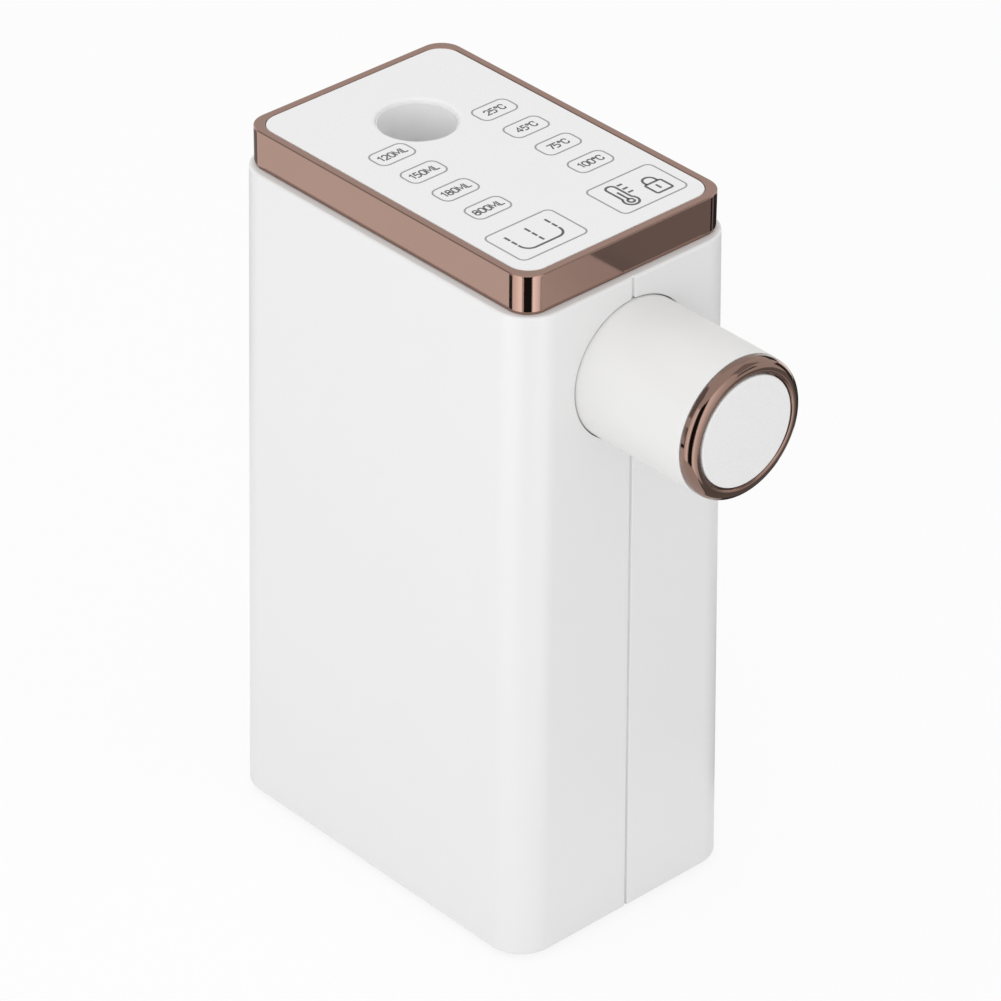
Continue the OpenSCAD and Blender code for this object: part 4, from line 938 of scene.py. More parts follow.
@dataclass
class TrimRing:
    """The plated band round the top, with its shadow step, rounded rim and panel shelf.

    Attributes:
        corner: Radius of the band's corners.
        inner_corner: Radius of the corners of the opening in the rim.
        rim: Width of the rim along its sides.
        step_in: Depth of the shadow step under the band.
        step_up: Height of the shadow step.
        shelf: Width of the shelf that carries the panel.
        shelf_drop: Depth of the shelf's face under the rim.
        shelf_thick: Thickness of the shelf.
        lower_round: Rounding of the band's lower edge.
        outer_round: Rounding of the rim's outer edge.
        inner_round: Rounding of its inner edge.
    """

    corner: float = 8.0 * MM
    inner_corner: float = 7.6 * MM
    rim: float = 2.8 * MM
    step_in: float = 0.6 * MM
    step_up: float = 0.8 * MM
    shelf: float = 3.0 * MM
    shelf_drop: float = 3.0 * MM
    shelf_thick: float = 2.0 * MM
    lower_round: float = 0.5 * MM
    outer_round: float = 0.6 * MM
    inner_round: float = 0.4 * MM

    def build(self) -> None:
        """Carry the band's section round its outlines, one ring for each point of the section.

        Points nearer to the outer face follow the band's outline, and the others follow the
        opening's.
        """
        low, high = node_box("trim_frame")
        shelf_top = high[2] - self.shelf_drop
        shelf_low = shelf_top - self.shelf_thick
        foot = low[2]
        section = rounded_path(
            [(self.step_in, foot), (self.step_in, foot + self.step_up),
             (0, foot + self.step_up), (0, high[2]), (self.rim, high[2]),
             (self.rim, shelf_top), (self.rim + self.shelf, shelf_top),
             (self.rim + self.shelf, shelf_low), (self.rim, shelf_low), (self.rim, foot)],
            [0, 0, self.lower_round, self.outer_round, self.inner_round, 0, 0, 0, 0, 0])
        half_x, half_y = (high[:2] - low[:2]) / 2
        centre = (0, (low[1] + high[1]) / 2)
        inset, height = section.T
        band = Outline(half_x, half_y, self.corner, centre, corner_steps=24)
        opening = Outline(half_x - self.rim, half_y - self.rim, self.inner_corner, centre,
                          corner_steps=24)
        rings = np.where((inset < self.rim / 2)[:, None, None], band.rings(inset, height),
                         opening.rings(inset - self.rim, height))
        add_piece("trim_ring", grid_surface(rings, wrap_rows=True, wrap_columns=True),
                  ROSE_GOLD, replaced=("trim_frame",))


@dataclass(frozen=True)
class Letter:
    """A printed character drawn in lines, with its height as the unit.

    Attributes:
        width: How far the next character starts from this one.
        lines: For each line, the x, y and rounding of its corners.
        closed: Whether each line joins its own start.
    """

    width: float
    lines: tuple[tuple[Triple, ...], ...]
    closed: bool = False


LETTERS: dict[str, Letter] = {
    "0": Letter(0.78, (((0.10, 0, 0.28), (0.68, 0, 0.28), (0.68, 1, 0.28), (0.10, 1, 0.28)),),
                closed=True),
    "1": Letter(0.62, (((0.12, 0.76, 0), (0.40, 1, 0), (0.40, 0, 0)),)),
    "2": Letter(0.78, (((0.10, 0.74, 0), (0.10, 1, 0.26), (0.66, 1, 0.26), (0.66, 0.55, 0.2),
                        (0.08, 0, 0), (0.70, 0, 0)),)),
    "4": Letter(0.78, (((0.52, 0, 0), (0.52, 1, 0), (0.04, 0.28, 0), (0.72, 0.28, 0)),)),
    "5": Letter(0.78, (((0.64, 1, 0), (0.16, 1, 0), (0.12, 0.54, 0), (0.68, 0.62, 0.24),
                        (0.68, 0, 0.3), (0.06, 0, 0)),)),
    "7": Letter(0.72, (((0.06, 1, 0), (0.66, 1, 0), (0.26, 0, 0)),)),
    "8": Letter(0.78, (((0.14, 0.54, 0.2), (0.64, 0.54, 0.2), (0.64, 1, 0.2), (0.14, 1, 0.2)),
                       ((0.10, 0, 0.25), (0.68, 0, 0.25), (0.68, 0.54, 0.25),
                        (0.10, 0.54, 0.25))), closed=True),
    "M": Letter(1.02, (((0.10, 0, 0), (0.10, 1, 0), (0.50, 0.2, 0), (0.90, 1, 0),
                        (0.90, 0, 0)),)),
    "L": Letter(0.66, (((0.12, 1, 0), (0.12, 0, 0), (0.62, 0, 0)),)),
    "°": Letter(0.46, (((0.08, 0.7, 0.14), (0.36, 0.7, 0.14), (0.36, 0.98, 0.14),
                        (0.08, 0.98, 0.14)),), closed=True),
    "C": Letter(0.78, (((0.70, 0.8, 0), (0.70, 1, 0.24), (0.08, 1, 0.32), (0.08, 0, 0.32),
                        (0.70, 0, 0.24), (0.70, 0.2, 0)),)),
}


@dataclass(frozen=True)
class PanelSigns:
    """The cup, thermometer and padlock as flat open paths, from the body's axis.

    A bow has its two sides in x, the y where they start and turn, and the radius of the turns.
    An arc has its middle, its radius, and its start and end in degrees.

    Attributes:
        cup: Bow of the cup.
        dash_x: The columns of dashes over the cup.
        dash_y: Spans of the dashes in each column.
        last_dash: x and span of the lowest dash.
        stem: Bow of the thermometer.
        bulb: Arc of its bulb.
        drop: Arc in the bulb.
        column: x and span of the line up its middle.
        tick_x: Span of the ticks beside it.
        tick_y: Heights of the ticks.
        shackle: Bow of the padlock, whose case the panel frames.
        keyhole: x and span of the keyhole.
        arc_steps: Pieces in an arc.
    """

    cup: Floats = (-29.35 * MM, -12.7 * MM, -48.2 * MM, -52.35 * MM, 3.5 * MM)
    dash_x: Floats = (-29.35 * MM, -21.0 * MM, -12.7 * MM)
    dash_y: tuple[Pair, ...] = ((-41.85 * MM, -44.5 * MM), (-45.2 * MM, -47.6 * MM))
    last_dash: Floats = (-21.0 * MM, -48.4 * MM, -50.7 * MM)
    stem: Floats = (13.3 * MM, 16.9 * MM, -49.3 * MM, -40.4 * MM, 1.7 * MM)
    bulb: Floats = (15.1 * MM, -51.1 * MM, 2.6 * MM, 134, 406)
    drop: Floats = (15.1 * MM, -51.1 * MM, 1.1 * MM, 0, 350)
    column: Floats = (15.1 * MM, -44.7 * MM, -50.0 * MM)
    tick_x: Pair = (17.8 * MM, 19.9 * MM)
    tick_y: Floats = (-41.8 * MM, -44.4 * MM, -46.9 * MM)
    shackle: Floats = (25.3 * MM, 29.8 * MM, -47.4 * MM, -43.9 * MM, 2.2 * MM)
    keyhole: Floats = (27.5 * MM, -49.0 * MM, -51.6 * MM)
    arc_steps: int = 32

    def paths(self) -> list[Array]:
        """Draw the bows, arcs, upright lines and ticks.

        A point of an arc is its middle plus its radius times (cos t, sin t).

        Returns:
            The paths.
        """
        paths = [rounded_path([(left, start), (left, turn), (right, turn), (right, start)],
                              [0, radius, radius, 0], closed=False)
                 for left, right, start, turn, radius in (self.cup, self.stem, self.shackle)]
        for x, y, radius, start, end in (self.bulb, self.drop):
            t = np.radians(np.linspace(start, end, self.arc_steps + 1))
            paths.append(np.stack([x + radius * np.cos(t), y + radius * np.sin(t)], axis=1))
        uprights = [(x, *span) for x in self.dash_x for span in self.dash_y]
        uprights += [self.last_dash, self.column, self.keyhole]
        paths += [np.array([(x, top), (x, bottom)]) for x, top, bottom in uprights]
        return paths + [np.array([(x, y) for x in self.tick_x]) for y in self.tick_y]


@dataclass
class TouchPanel:
    """The glossy panel in the rim, with its inlet opening and printed legends.

    Attributes:
        corner: Radius of its corners.
        thick: Its thickness.
        edge: Rounding of its outer edge.
        lip: Width and depth of the inlet's rounded edge.
        inlet: Radius of the inlet opening.
        sunk: How far the face lies under the rim.
        print_rise: How far the print stands up.
        line: Width of a printed line.
        key_half: Half of a key's printed frame.
        key_round: Radius of the frame's corners.
        key_columns: x of the two columns of keys.
        key_rows: y of the four rows of keys from the body's axis.
        field_x: Spans of the two lower fields in x.
        field_y: Their span in y from the body's axis.
        field_round: Radius of their corners.
        labels: The keys' words, column by column from the rear.
        letter: Height of a label's characters, between the middles of their lines.
        letter_line: Width of a character's lines.
        bold: Width of a sign's lines.
        signs: The signs in the lower fields.
        lock: Spans of the padlock's case in x and y, and the radius of its corners.
        top: Height of the face.
        middle_y: Where the body's axis stands.
    """

    corner: float = 7.45 * MM
    thick: float = 3.0 * MM
    edge: float = 0.4 * MM
    lip: Pair = (1.8 * MM, 1.2 * MM)
    inlet: float = 13.2 * MM
    sunk: float = 0.05 * MM
    print_rise: float = 0.03 * MM
    line: float = 0.6 * MM
    key_half: Pair = (7.35 * MM, 4.25 * MM)
    key_round: float = 2.7 * MM
    key_columns: Pair = (-20.85 * MM, 22.3 * MM)
    key_rows: Floats = (19.3 * MM, 4.5 * MM, -10.3 * MM, -25.1 * MM)
    field_x: tuple[Pair, ...] = ((-34.7 * MM, -7.3 * MM), (7.6 * MM, 35.0 * MM))
    field_y: Pair = (-56.35 * MM, -37.8 * MM)
    field_round: float = 2.3 * MM
    labels: tuple[tuple[str, ...], ...] = (
        ("120ML", "150ML", "180ML", "800ML"), ("25°C", "45°C", "75°C", "100°C"))
    letter: float = 2.9 * MM
    letter_line: float = 0.55 * MM
    bold: float = 0.85 * MM
    signs: PanelSigns = PanelSigns()
    lock: tuple[Pair, Pair, float] = (
        (24.3 * MM, 30.9 * MM), (-53.4 * MM, -47.4 * MM), 0.7 * MM)
    top: float = field(init=False)
    middle_y: float = field(init=False)

    def __post_init__(self) -> None:
        """Read the height of the face and the body's axis from the panel's box."""
        low, high = node_box("touch_panel")
        self.top = high[2] - self.sunk
        self.middle_y = (low[1] + high[1]) / 2

    def plate(self) -> Surface:
        """Make the plate: rings of its outline outside and of the inlet's circle inside.

        A point of the inlet's ring lies on the line from the inlet's centre to its partner on
        the outline, at the ring's radius.

        Returns:
            The closed skin.
        """
        low, high = node_box("touch_panel")
        well_low, well_high = node_box("inlet_well")
        centre = np.array([0, (well_low[1] + well_high[1]) / 2])
        outline = Outline((high[0] - low[0]) / 2, (high[1] - low[1]) / 2, self.corner,
                          (0, self.middle_y), edge_steps=40)
        under = self.top - self.thick + self.sunk
        outer = outline.rings(
            np.concatenate([[0], self.edge * (1 - np.cos(BEND))]),
            np.concatenate([[under], self.top - self.edge * (1 - np.sin(BEND))]))
        spoke = outer[0, :, :2] - centre
        spoke /= np.linalg.norm(spoke, axis=1, keepdims=True)
        lip_wide, lip_deep = self.lip
        radius = np.concatenate([self.inlet + lip_wide * (1 - np.sin(BEND)), [self.inlet]])
        height = np.concatenate([self.top - lip_deep * (1 - np.cos(BEND)), [under]])
        inner = np.concatenate([
            centre + radius[:, None, None] * spoke[None],
            np.broadcast_to(height[:, None, None], (len(height), len(spoke), 1))], axis=-1)
        return grid_surface(np.concatenate([outer, inner]), wrap_rows=True, wrap_columns=True)

    def stroke(self, path: Array, closed: bool = False, width: float = 0.0) -> Surface:
        """Print a line on the face.

        Args:
            path: x and y from the body's axis.
            closed: Whether the path joins its start.
            width: Width of the line, or 0 for the usual one.

        Returns:
            The closed skin.
        """
        line = printed_line(path, width or self.line, self.print_rise, closed)
        return Surface(line.points + (0, self.middle_y, self.top), line.faces)

    def frame_line(self, x: Sequence[float], y: Sequence[float], radius: float,
                   width: float = 0.0) -> Surface:
        """Print a frame round the spans of x and y."""
        corners = [(x[0], y[0]), (x[1], y[0]), (x[1], y[1]), (x[0], y[1])]
        return self.stroke(rounded_path(corners, [radius] * 4), closed=True, width=width)

    def key_frames(self) -> Surface:
        """Print the frames of the eight keys and the two lower fields.

        Returns:
            The skin of all frames.
        """
        half_x, half_y = self.key_half
        keys = [self.frame_line((x - half_x, x + half_x), (y - half_y, y + half_y),
                                self.key_round)
                for x in self.key_columns for y in self.key_rows]
        fields = [self.frame_line(x, self.field_y, self.field_round) for x in self.field_x]
        return joined(keys + fields)

    def sign_lines(self) -> Surface:
        """Print the cup, thermometer and padlock in bold lines."""
        lines = [self.stroke(path, width=self.bold) for path in self.signs.paths()]
        return joined([*lines, self.frame_line(*self.lock, self.bold)])

    def label(self, text: str, x: float, y: float) -> Surface:
        """Draw one label's characters side by side about a middle.

        Args:
            text: The words.
            x: Middle of the label in x.
            y: Middle of the label in y, from the body's axis.

        Returns:
            The skin of all its lines.
        """
        letters = [LETTERS[character] for character in text]
        widths = [letter.width for letter in letters]
        starts = np.cumsum([0.0, *widths[:-1]]) - sum(widths) / 2
        strokes = []
        for letter, start in zip(letters, starts):
            shift = (x + start * self.letter, y - self.letter / 2)
            for corners in letter.lines:
                flat = np.array(corners) * self.letter
                path = rounded_path(flat[:, :2] + shift, flat[:, 2], letter.closed)
                strokes.append(self.stroke(path, letter.closed, self.letter_line))
        return joined(strokes)

    def build(self) -> None:
        """Make the plate and print its legends."""
        add_piece("panel_plate", self.plate(), PANEL_WHITE,
                  replaced=("touch_panel",))
        add_piece("key_frames", self.key_frames(), PRINT_PALE)
        add_piece("panel_signs", self.sign_lines(), PRINT_GREY)
        labels = [self.label(text, x, y) for x, column in zip(self.key_columns, self.labels)
                  for y, text in zip(self.key_rows, column)]
        add_piece("key_labels", joined(labels), PRINT_GREY)


@dataclass
class Inlet:
    """The bottle well under the panel, with its drain and gasket.

    Attributes:
        bore: Radius of the well.
        collar: Outer radius of the collar that stands in the panel's opening.
        collar_rise: Height of that collar.
        wall: Thickness of its side.
        flange: Thickness of the flange under the panel.
        floor: Thickness of its floor.
        drain: Radius of the drain in the floor.
        groove: Depth of the groove that holds the gasket.
        edge: Rounding of the well's lower edges and of the drain's edge.
        flange_edge: Rounding of the flange's edges.
        groove_edge: Rounding of the groove's upper edge.
        seal_in: Inner radius of the gasket.
        seal_edge: Rounding of the gasket's edges.
        seal_lip: Rounding of its upper inner edge.
    """

    bore: float = 12.9 * MM
    collar: float = 13.15 * MM
    collar_rise: float = 1.7 * MM
    wall: float = 2.0 * MM
    flange: float = 2.5 * MM
    floor: float = 3.0 * MM
    drain: float = 4.0 * MM
    groove: float = 0.6 * MM
    edge: float = 0.5 * MM
    flange_edge: float = 0.4 * MM
    groove_edge: float = 0.15 * MM
    seal_in: float = 8.5 * MM
    seal_edge: float = 0.3 * MM
    seal_lip: float = 0.9 * MM

    def build(self) -> None:
        """Turn the well's and the gasket's sections about the well's axis."""
        low, high = node_box("inlet_well")
        seal_low, seal_high = node_box("inlet_gasket")
        foot = (0, (low[1] + high[1]) / 2, low[2])
        tall = high[2] - low[2]
        lip = (high[0] - low[0]) / 2
        outer = self.bore + self.wall
        seal = seal_high[2] - seal_low[2]
        well = rounded_path(
            [(self.drain, 0), (outer, 0), (outer, tall - self.flange), (lip, tall - self.flange),
             (lip, tall), (self.collar, tall), (self.collar, tall + self.collar_rise),
             (self.bore, tall + self.collar_rise), (self.bore, self.floor + seal),
             (self.bore + self.groove, self.floor + seal), (self.bore + self.groove, self.floor),
             (self.drain, self.floor)],
            [0, self.edge, self.edge, self.flange_edge, self.flange_edge, 0, 0, 0,
             self.groove_edge, 0, 0, self.edge])
        # The well takes the lighter copy of the white plastic: painted light inside the deep well.
        add_piece("bottle_well", revolve(well, foot, UP, RIGHT), LIT_WELL_WHITE,
                  replaced=("inlet_well",))
        seal_out = (seal_high[0] - seal_low[0]) / 2
        gasket = rounded_path(
            [(self.seal_in, 0), (seal_out, 0), (seal_out, seal), (self.seal_in, seal)],
            [self.seal_edge, self.seal_edge, self.seal_edge, self.seal_lip])
        add_piece("well_gasket", revolve(gasket, (0, foot[1], seal_low[2]), UP, RIGHT),
                  PALE_SILICONE, replaced=("inlet_gasket",))


@dataclass
class Spout:
    """The spout: its tube, the plated end ring, the end cap and the nozzle under it.

    Attributes:
        radius: Outer radius of the tube.
        steps: Points round the tube and the ring.
        wall: Thickness of the tube.
        flange: Thickness of the flange inside the body.
        flange_edge: Rounding of the flange's edges.
        end_edge: Rounding of the tube's end.
        spigot: Radius of the pipe's hole in the flange.
        ring_inset: How far the ring stays inside the tube's outer face.
        ring_gap: Width and depth of the shadow gap between the tube and the ring.
        ring_edge: Rounding of the ring's edge at that gap.
        ring_round: Rounding of the ring's outer edge.
        ring_lip: Rounding of its inner edge.
        ring_steps: Pieces in each of the ring's roundings.
        ring_crease: Angle in degrees from which the ring's edges are drawn sharp.
        sleeve: Length of the ring's sleeve in the tube.
        sleeve_gap: Play round the sleeve.
        seat: Width of the seat under the cap.
        cap_gap: Play round the cap.
        cap_edges: Rounding of the cap's rear and front edges.
        nozzle_gap: Play between the nozzle and its hole.
        nozzle_steps: Points round the nozzle and its hole.
        nozzle_bore: Radius of the nozzle's outlet.
        nozzle_socket: Radius of the nozzle's upper bore.
        nozzle_out: Length of the narrow outlet.
        nozzle_edges: Rounding of the outlet, the tip, the rim and the upper bore.
        drill: Half of the length of the cut for the nozzle's hole.
    """

    radius: float = 24 * MM
    steps: int = 160
    wall: float = 2.2 * MM
    flange: float = 3.0 * MM
    flange_edge: float = 0.4 * MM
    end_edge: float = 0.2 * MM
    spigot: float = 4.05 * MM
    ring_inset: float = 0.15 * MM
    ring_gap: Pair = (0.35 * MM, 1.2 * MM)
    ring_edge: float = 0.15 * MM
    ring_round: float = 3.3 * MM
    ring_lip: float = 0.9 * MM
    ring_steps: int = 20
    ring_crease: float = 60.0
    sleeve: float = 4.0 * MM
    sleeve_gap: float = 0.2 * MM
    seat: float = 1.8 * MM
    cap_gap: float = 0.5 * MM
    cap_edges: Pair = (0.2 * MM, 0.5 * MM)
    nozzle_gap: float = 0.2 * MM
    nozzle_steps: int = 64
    nozzle_bore: float = 2.5 * MM
    nozzle_socket: float = 4.05 * MM
    nozzle_out: float = 3.0 * MM
    nozzle_edges: Floats = (0.4 * MM, 1.2 * MM, 0.3 * MM, 0.2 * MM)
    drill: float = 12 * MM

    def tube(self) -> None:
        """Turn the tube's section about the spout's axis and cut the nozzle's hole through it."""
        low, high = node_box("spout_tube")
        back = (0, high[1], (low[2] + high[2]) / 2)
        long = high[1] - low[1]
        rim = (high[0] - low[0]) / 2
        bore = self.radius - self.wall
        section = rounded_path(
            [(self.spigot, 0), (rim, 0), (rim, self.flange), (self.radius, self.flange),
             (self.radius, long), (bore, long), (bore, self.flange), (self.spigot, self.flange)],
            [0, self.flange_edge, self.flange_edge, 0, self.end_edge, self.end_edge, 0, 0])
        # The tube takes the darker copy of the housing's white: painted shade.
        piece = add_piece("spout_barrel", revolve(section, back, FRONT, RIGHT, self.steps),
                          SHADED_SPOUT_WHITE, replaced=("spout_tube",))
        tip_low, tip_high = node_box("nozzle_tip")
        hole = (tip_high[0] - tip_low[0]) / 2 + self.nozzle_gap
        drill = np.array([(0, -self.drill), (hole, -self.drill), (hole, self.drill),
                          (0, self.drill)])
        middle = (tip_low + tip_high) / 2
        bore_out(piece, revolve(drill, (0, middle[1], middle[2]), UP, RIGHT, self.nozzle_steps,
                                closed=False))

    def ring(self) -> Surface:
        """Turn the ring's section: sleeve, shadow gap, rounded band and cap seat.

        Returns:
            The closed skin.
        """
        low, high = node_box("spout_ring")
        cap_low, cap_high = node_box("spout_cap")
        long = high[1] - low[1] - self.sleeve
        plug = self.radius - self.wall - self.sleeve_gap
        open_r = (cap_high[0] - cap_low[0]) / 2 + self.cap_gap
        seat = long - (cap_high[1] - cap_low[1])
        outer = self.radius - self.ring_inset
        gap, gap_deep = self.ring_gap
        section = rounded_path(
            [(open_r - self.seat, -self.sleeve), (plug, -self.sleeve), (plug, 0),
             (outer - gap_deep, 0), (outer - gap_deep, gap), (outer, gap), (outer, long),
             (open_r, long), (open_r, seat), (open_r - self.seat, seat)],
            [0, 0, 0, 0, 0, self.ring_edge, self.ring_round, self.ring_lip, 0, 0],
            steps=self.ring_steps)
        face = (0, low[1] + long, (low[2] + high[2]) / 2)
        return revolve(section, face, FRONT, RIGHT, self.steps)

    def cap(self) -> Surface:
        """Turn the end cap: a disc with a rounded edge.

        Returns:
            The closed skin.
        """
        low, high = node_box("spout_cap")
        radius, thick = (high[0] - low[0]) / 2, high[1] - low[1]
        section = rounded_path([(0, 0), (radius, 0), (radius, thick), (0, thick)],
                               [0, *self.cap_edges, 0], closed=False)
        return revolve(section, (0, high[1], (low[2] + high[2]) / 2), FRONT, RIGHT,
                       closed=False)

    def nozzle(self) -> Surface:
        """Turn the nozzle's section: a soft tip with a narrow outlet.

        Returns:
            The closed skin.
        """
        low, high = node_box("nozzle_tip")
        radius, tall = (high[0] - low[0]) / 2, high[2] - low[2]
        section = rounded_path(
            [(self.nozzle_bore, 0), (radius, 0), (radius, tall), (self.nozzle_socket, tall),
             (self.nozzle_socket, self.nozzle_out), (self.nozzle_bore, self.nozzle_out)],
            [*self.nozzle_edges, 0, 0])
        return revolve(section, (0, (low[1] + high[1]) / 2, low[2]), UP, RIGHT,
                       self.nozzle_steps)

    def build(self) -> None:
        """Make the four pieces."""
        self.tube()
        # The end ring takes the darkened copy of the trim's plating: painted shade.
        add_piece("spout_end_ring", self.ring(), SHADED_ROSE_GOLD,
                  replaced=("spout_ring",), crease=self.ring_crease)
        add_piece("spout_end_cap", self.cap(), PANEL_WHITE,
                  replaced=("spout_cap",))
        add_piece("outlet_nozzle", self.nozzle(), RUBBER_GREY,
                  replaced=("nozzle_tip",))


def bore_out(piece: bpy.types.Object, cutter: Surface) -> None:
    """Cut a closed skin out of a piece and keep the result as its mesh.

    Args:
        piece: The piece to cut.
        cutter: The skin to remove.
    """
    tool = put_in_scene("cutter", clean_mesh("cutter", cutter))
    cut = piece.modifiers.new("cut", "BOOLEAN")
    cut.operation, cut.solver, cut.object = "DIFFERENCE", "EXACT", tool
    even = piece.modifiers["Even shading"]
    even.show_viewport = False
    shaped = piece.evaluated_get(bpy.context.evaluated_depsgraph_get())
    result = bpy.data.meshes.new_from_object(shaped)
    piece.modifiers.remove(cut)
    even.show_viewport = True
    spare = (piece.data, tool.data)
    piece.data = result
    bpy.data.objects.remove(tool)
    for mesh in spare:
        bpy.data.meshes.remove(mesh)
    result.name = piece.name
    shade(result)


@dataclass
class PowerBay:
    """The appliance inlet and the rocker switch in the rear bay.

    Lengths are x across, out from the body's leaning rear face and up from the bay's middle.

    Attributes:
        shell: The housing that holds the bay.
        flange: Thickness of both flanges.
        edge: Rounding of the outer edges.
        lip: Rounding of the edges of both openings.
        socket: Half sizes of the inlet's flange.
        socket_body: Half sizes of its body.
        socket_cut: Cut of the upper corners of both.
        socket_round: Radius of the corners of the inlet.
        socket_up: Height of its middle.
        recess: Half sizes of the recess for the plug.
        recess_cut: Cut of the recess's upper corners.
        recess_deep: Depth of the recess.
        back: Thickness of what closes the recess and the switch.
        frame: Half sizes of the switch's flange.
        frame_round: Radius of the flange's corners.
        frame_body: Half sizes of its body.
        body_round: Radius of the body's corners.
        opening: Half sizes of the rocker's opening.
        opening_round: Radius of the opening's corners.
        opening_deep: Depth of that opening.
        switch_up: Height of the switch's middle.
        rocker_half: Half of the rocker's width.
        rocker_end: Distance of the rocker's ends from its pivot.
        rocker_tip: Distance along and above the pivot where a face meets its end.
        crown: Height of the rocker's middle above the pivot.
        crown_round: Radius where the rocker's two faces meet.
        tip_round: Radius where a face meets its end.
        end_round: Radius of the end's lower edge.
        heel: Half width and depth of the rocker's heel.
        heel_round: Radius of the heel's edges.
        pivot_deep: Depth of the pivot under the flange's face.
        tilt: Angle of the rocker's faces, and of the rocker at rest.
        mark_at: Distance of the marks from the crown.
        mark_half: Half of a mark's height.
        mark_line: Width of a mark's line.
        mark_rise: How far a mark stands up.
        mark_steps: Points round the ring mark.
    """

    shell: HousingShell = field(default_factory=HousingShell)
    flange: float = 2.0 * MM
    edge: float = 0.6 * MM
    lip: float = 0.35 * MM
    socket: Pair = (15.0 * MM, 11.5 * MM)
    socket_body: Pair = (13.5 * MM, 10.0 * MM)
    socket_cut: float = 1.0 * MM
    socket_round: float = 0.5 * MM
    socket_up: float = -13.85 * MM
    recess: Pair = (12.2 * MM, 8.4 * MM)
    recess_cut: float = 4.0 * MM
    recess_deep: float = 14.5 * MM
    back: float = 2.0 * MM
    frame: Pair = (8.3 * MM, 12.6 * MM)
    frame_round: float = 1.0 * MM
    frame_body: Pair = (6.8 * MM, 11.1 * MM)
    body_round: float = 0.3 * MM
    opening: Pair = (5.3 * MM, 9.6 * MM)
    opening_round: float = 0.4 * MM
    opening_deep: float = 13.0 * MM
    switch_up: float = 12.75 * MM
    rocker_half: float = 5.0 * MM
    rocker_end: float = 9.3 * MM
    rocker_tip: Pair = (7.95 * MM, 4.8 * MM)
    crown: float = 6.2 * MM
    crown_round: float = 6.0 * MM
    tip_round: float = 0.7 * MM
    end_round: float = 0.4 * MM
    heel: Pair = (2.4 * MM, 2.4 * MM)
    heel_round: float = 0.3 * MM
    pivot_deep: float = 4.5 * MM
    tilt: float = math.radians(10)
    mark_at: float = 4.2 * MM
    mark_half: float = 1.5 * MM
    mark_line: float = 0.45 * MM
    mark_rise: float = 0.03 * MM
    mark_steps: int = 32

    @property
    def face(self) -> float:
        """How far out the flanges' faces lie."""
        return self.flange - self.shell.bay_depth

    def placed(self, surface: Surface, up: float) -> Surface:
        """Turn x, up and out into the part's own frame.

        Args:
            surface: A skin whose points are x, up and out.
            up: Height of its middle above the bay's middle.

        Returns:
            The skin in place.
        """
        shell = self.shell
        lean = math.atan(shell.lean)
        x, rise, out = surface.points.T
        rise = rise + up
        cos, sin = math.cos(lean), math.sin(lean)
        y = shell.high[1] - shell.drawn_in(shell.bay_middle) + out * cos - rise * sin
        return Surface(np.stack([x, y, shell.bay_middle + out * sin + rise * cos], axis=1),
                       surface.faces)

    @staticmethod
    def capped(rings: Array) -> Surface:
        """Close a stack of rings with a fan to the middle of each end.

        Args:
            rings: Rings by points by three.

        Returns:
            The closed skin.
        """
        first, last = (np.repeat(ring.mean(axis=0, keepdims=True), len(ring), axis=0)
                       for ring in (rings[0], rings[-1]))
        return grid_surface(np.concatenate([first[None], rings, last[None]]), wrap_columns=True)

    def inlet(self) -> Surface:
        """Make the inlet: rings of its body, its rounded flange and the recess.

        A ring has six corners, so that the recess's two cut corners have partners all through.

        Returns:
            The closed skin.
        """
        under, deep = self.face - self.flange, self.face - self.recess_deep
        body = (*self.socket_body, self.socket_cut)
        flange = (*self.socket, self.socket_cut)
        recess = (*self.recess, self.recess_cut)
        rings = [(*body, 0, deep - self.back), (*body, 0, under), (*flange, 0, under)]
        rings += [(*flange, self.edge * (1 - np.cos(bend)),
                   self.face - self.edge * (1 - np.sin(bend))) for bend in BEND]
        rings += [(*recess, -self.lip * (1 - np.sin(bend)),
                   self.face - self.lip * (1 - np.cos(bend))) for bend in BEND]
        rings.append((*recess, 0, deep))
        stack = []
        for half_x, half_z, cut, inset, out in rings:
            x, z = half_x - inset, half_z - inset
            path = rounded_path([(-x, -z), (x, -z), (x, z - cut), (x - cut, z), (cut - x, z),
                                 (-x, z - cut)], [self.socket_round] * 6)
            stack.append(np.column_stack([path, np.full(len(path), out)]))
        return self.placed(self.capped(np.array(stack)), self.socket_up)

    def switch(self) -> Surface:
        """Make the switch's frame: rings of its body, its rounded flange and the opening.

        Returns:
            The closed skin.
        """
        under, deep = self.face - self.flange, self.face - self.opening_deep
        body = Outline(*self.frame_body, self.body_round).rings(
            [0, 0], [deep - self.back, under])
        flange = Outline(*self.frame, self.frame_round).rings(
            np.concatenate([[0], self.edge * (1 - np.cos(BEND))]),
            np.concatenate([[under], self.face - self.edge * (1 - np.sin(BEND))]))
        opening = Outline(*self.opening, self.opening_round).rings(
            np.concatenate([-self.lip * (1 - np.sin(BEND)), [0]]),
            np.concatenate([self.face - self.lip * (1 - np.cos(BEND)), [deep]]))
        return self.placed(self.capped(np.concatenate([body, flange, opening])), self.switch_up)

    def tilted(self, surface: Surface) -> Surface:
        """Turn a skin about the rocker's pivot to the rest tilt, and put it in place.

        Args:
            surface: A skin whose points are x, up and out from the pivot.

        Returns:
            The skin in place.
        """
        x, up, out = surface.points.T
        cos, sin = math.cos(self.tilt), math.sin(self.tilt)
        pivot = self.face - self.pivot_deep
        turned = np.stack([x, up * cos - out * sin, pivot + out * cos + up * sin], axis=1)
        return self.placed(Surface(turned, surface.faces), self.switch_up)

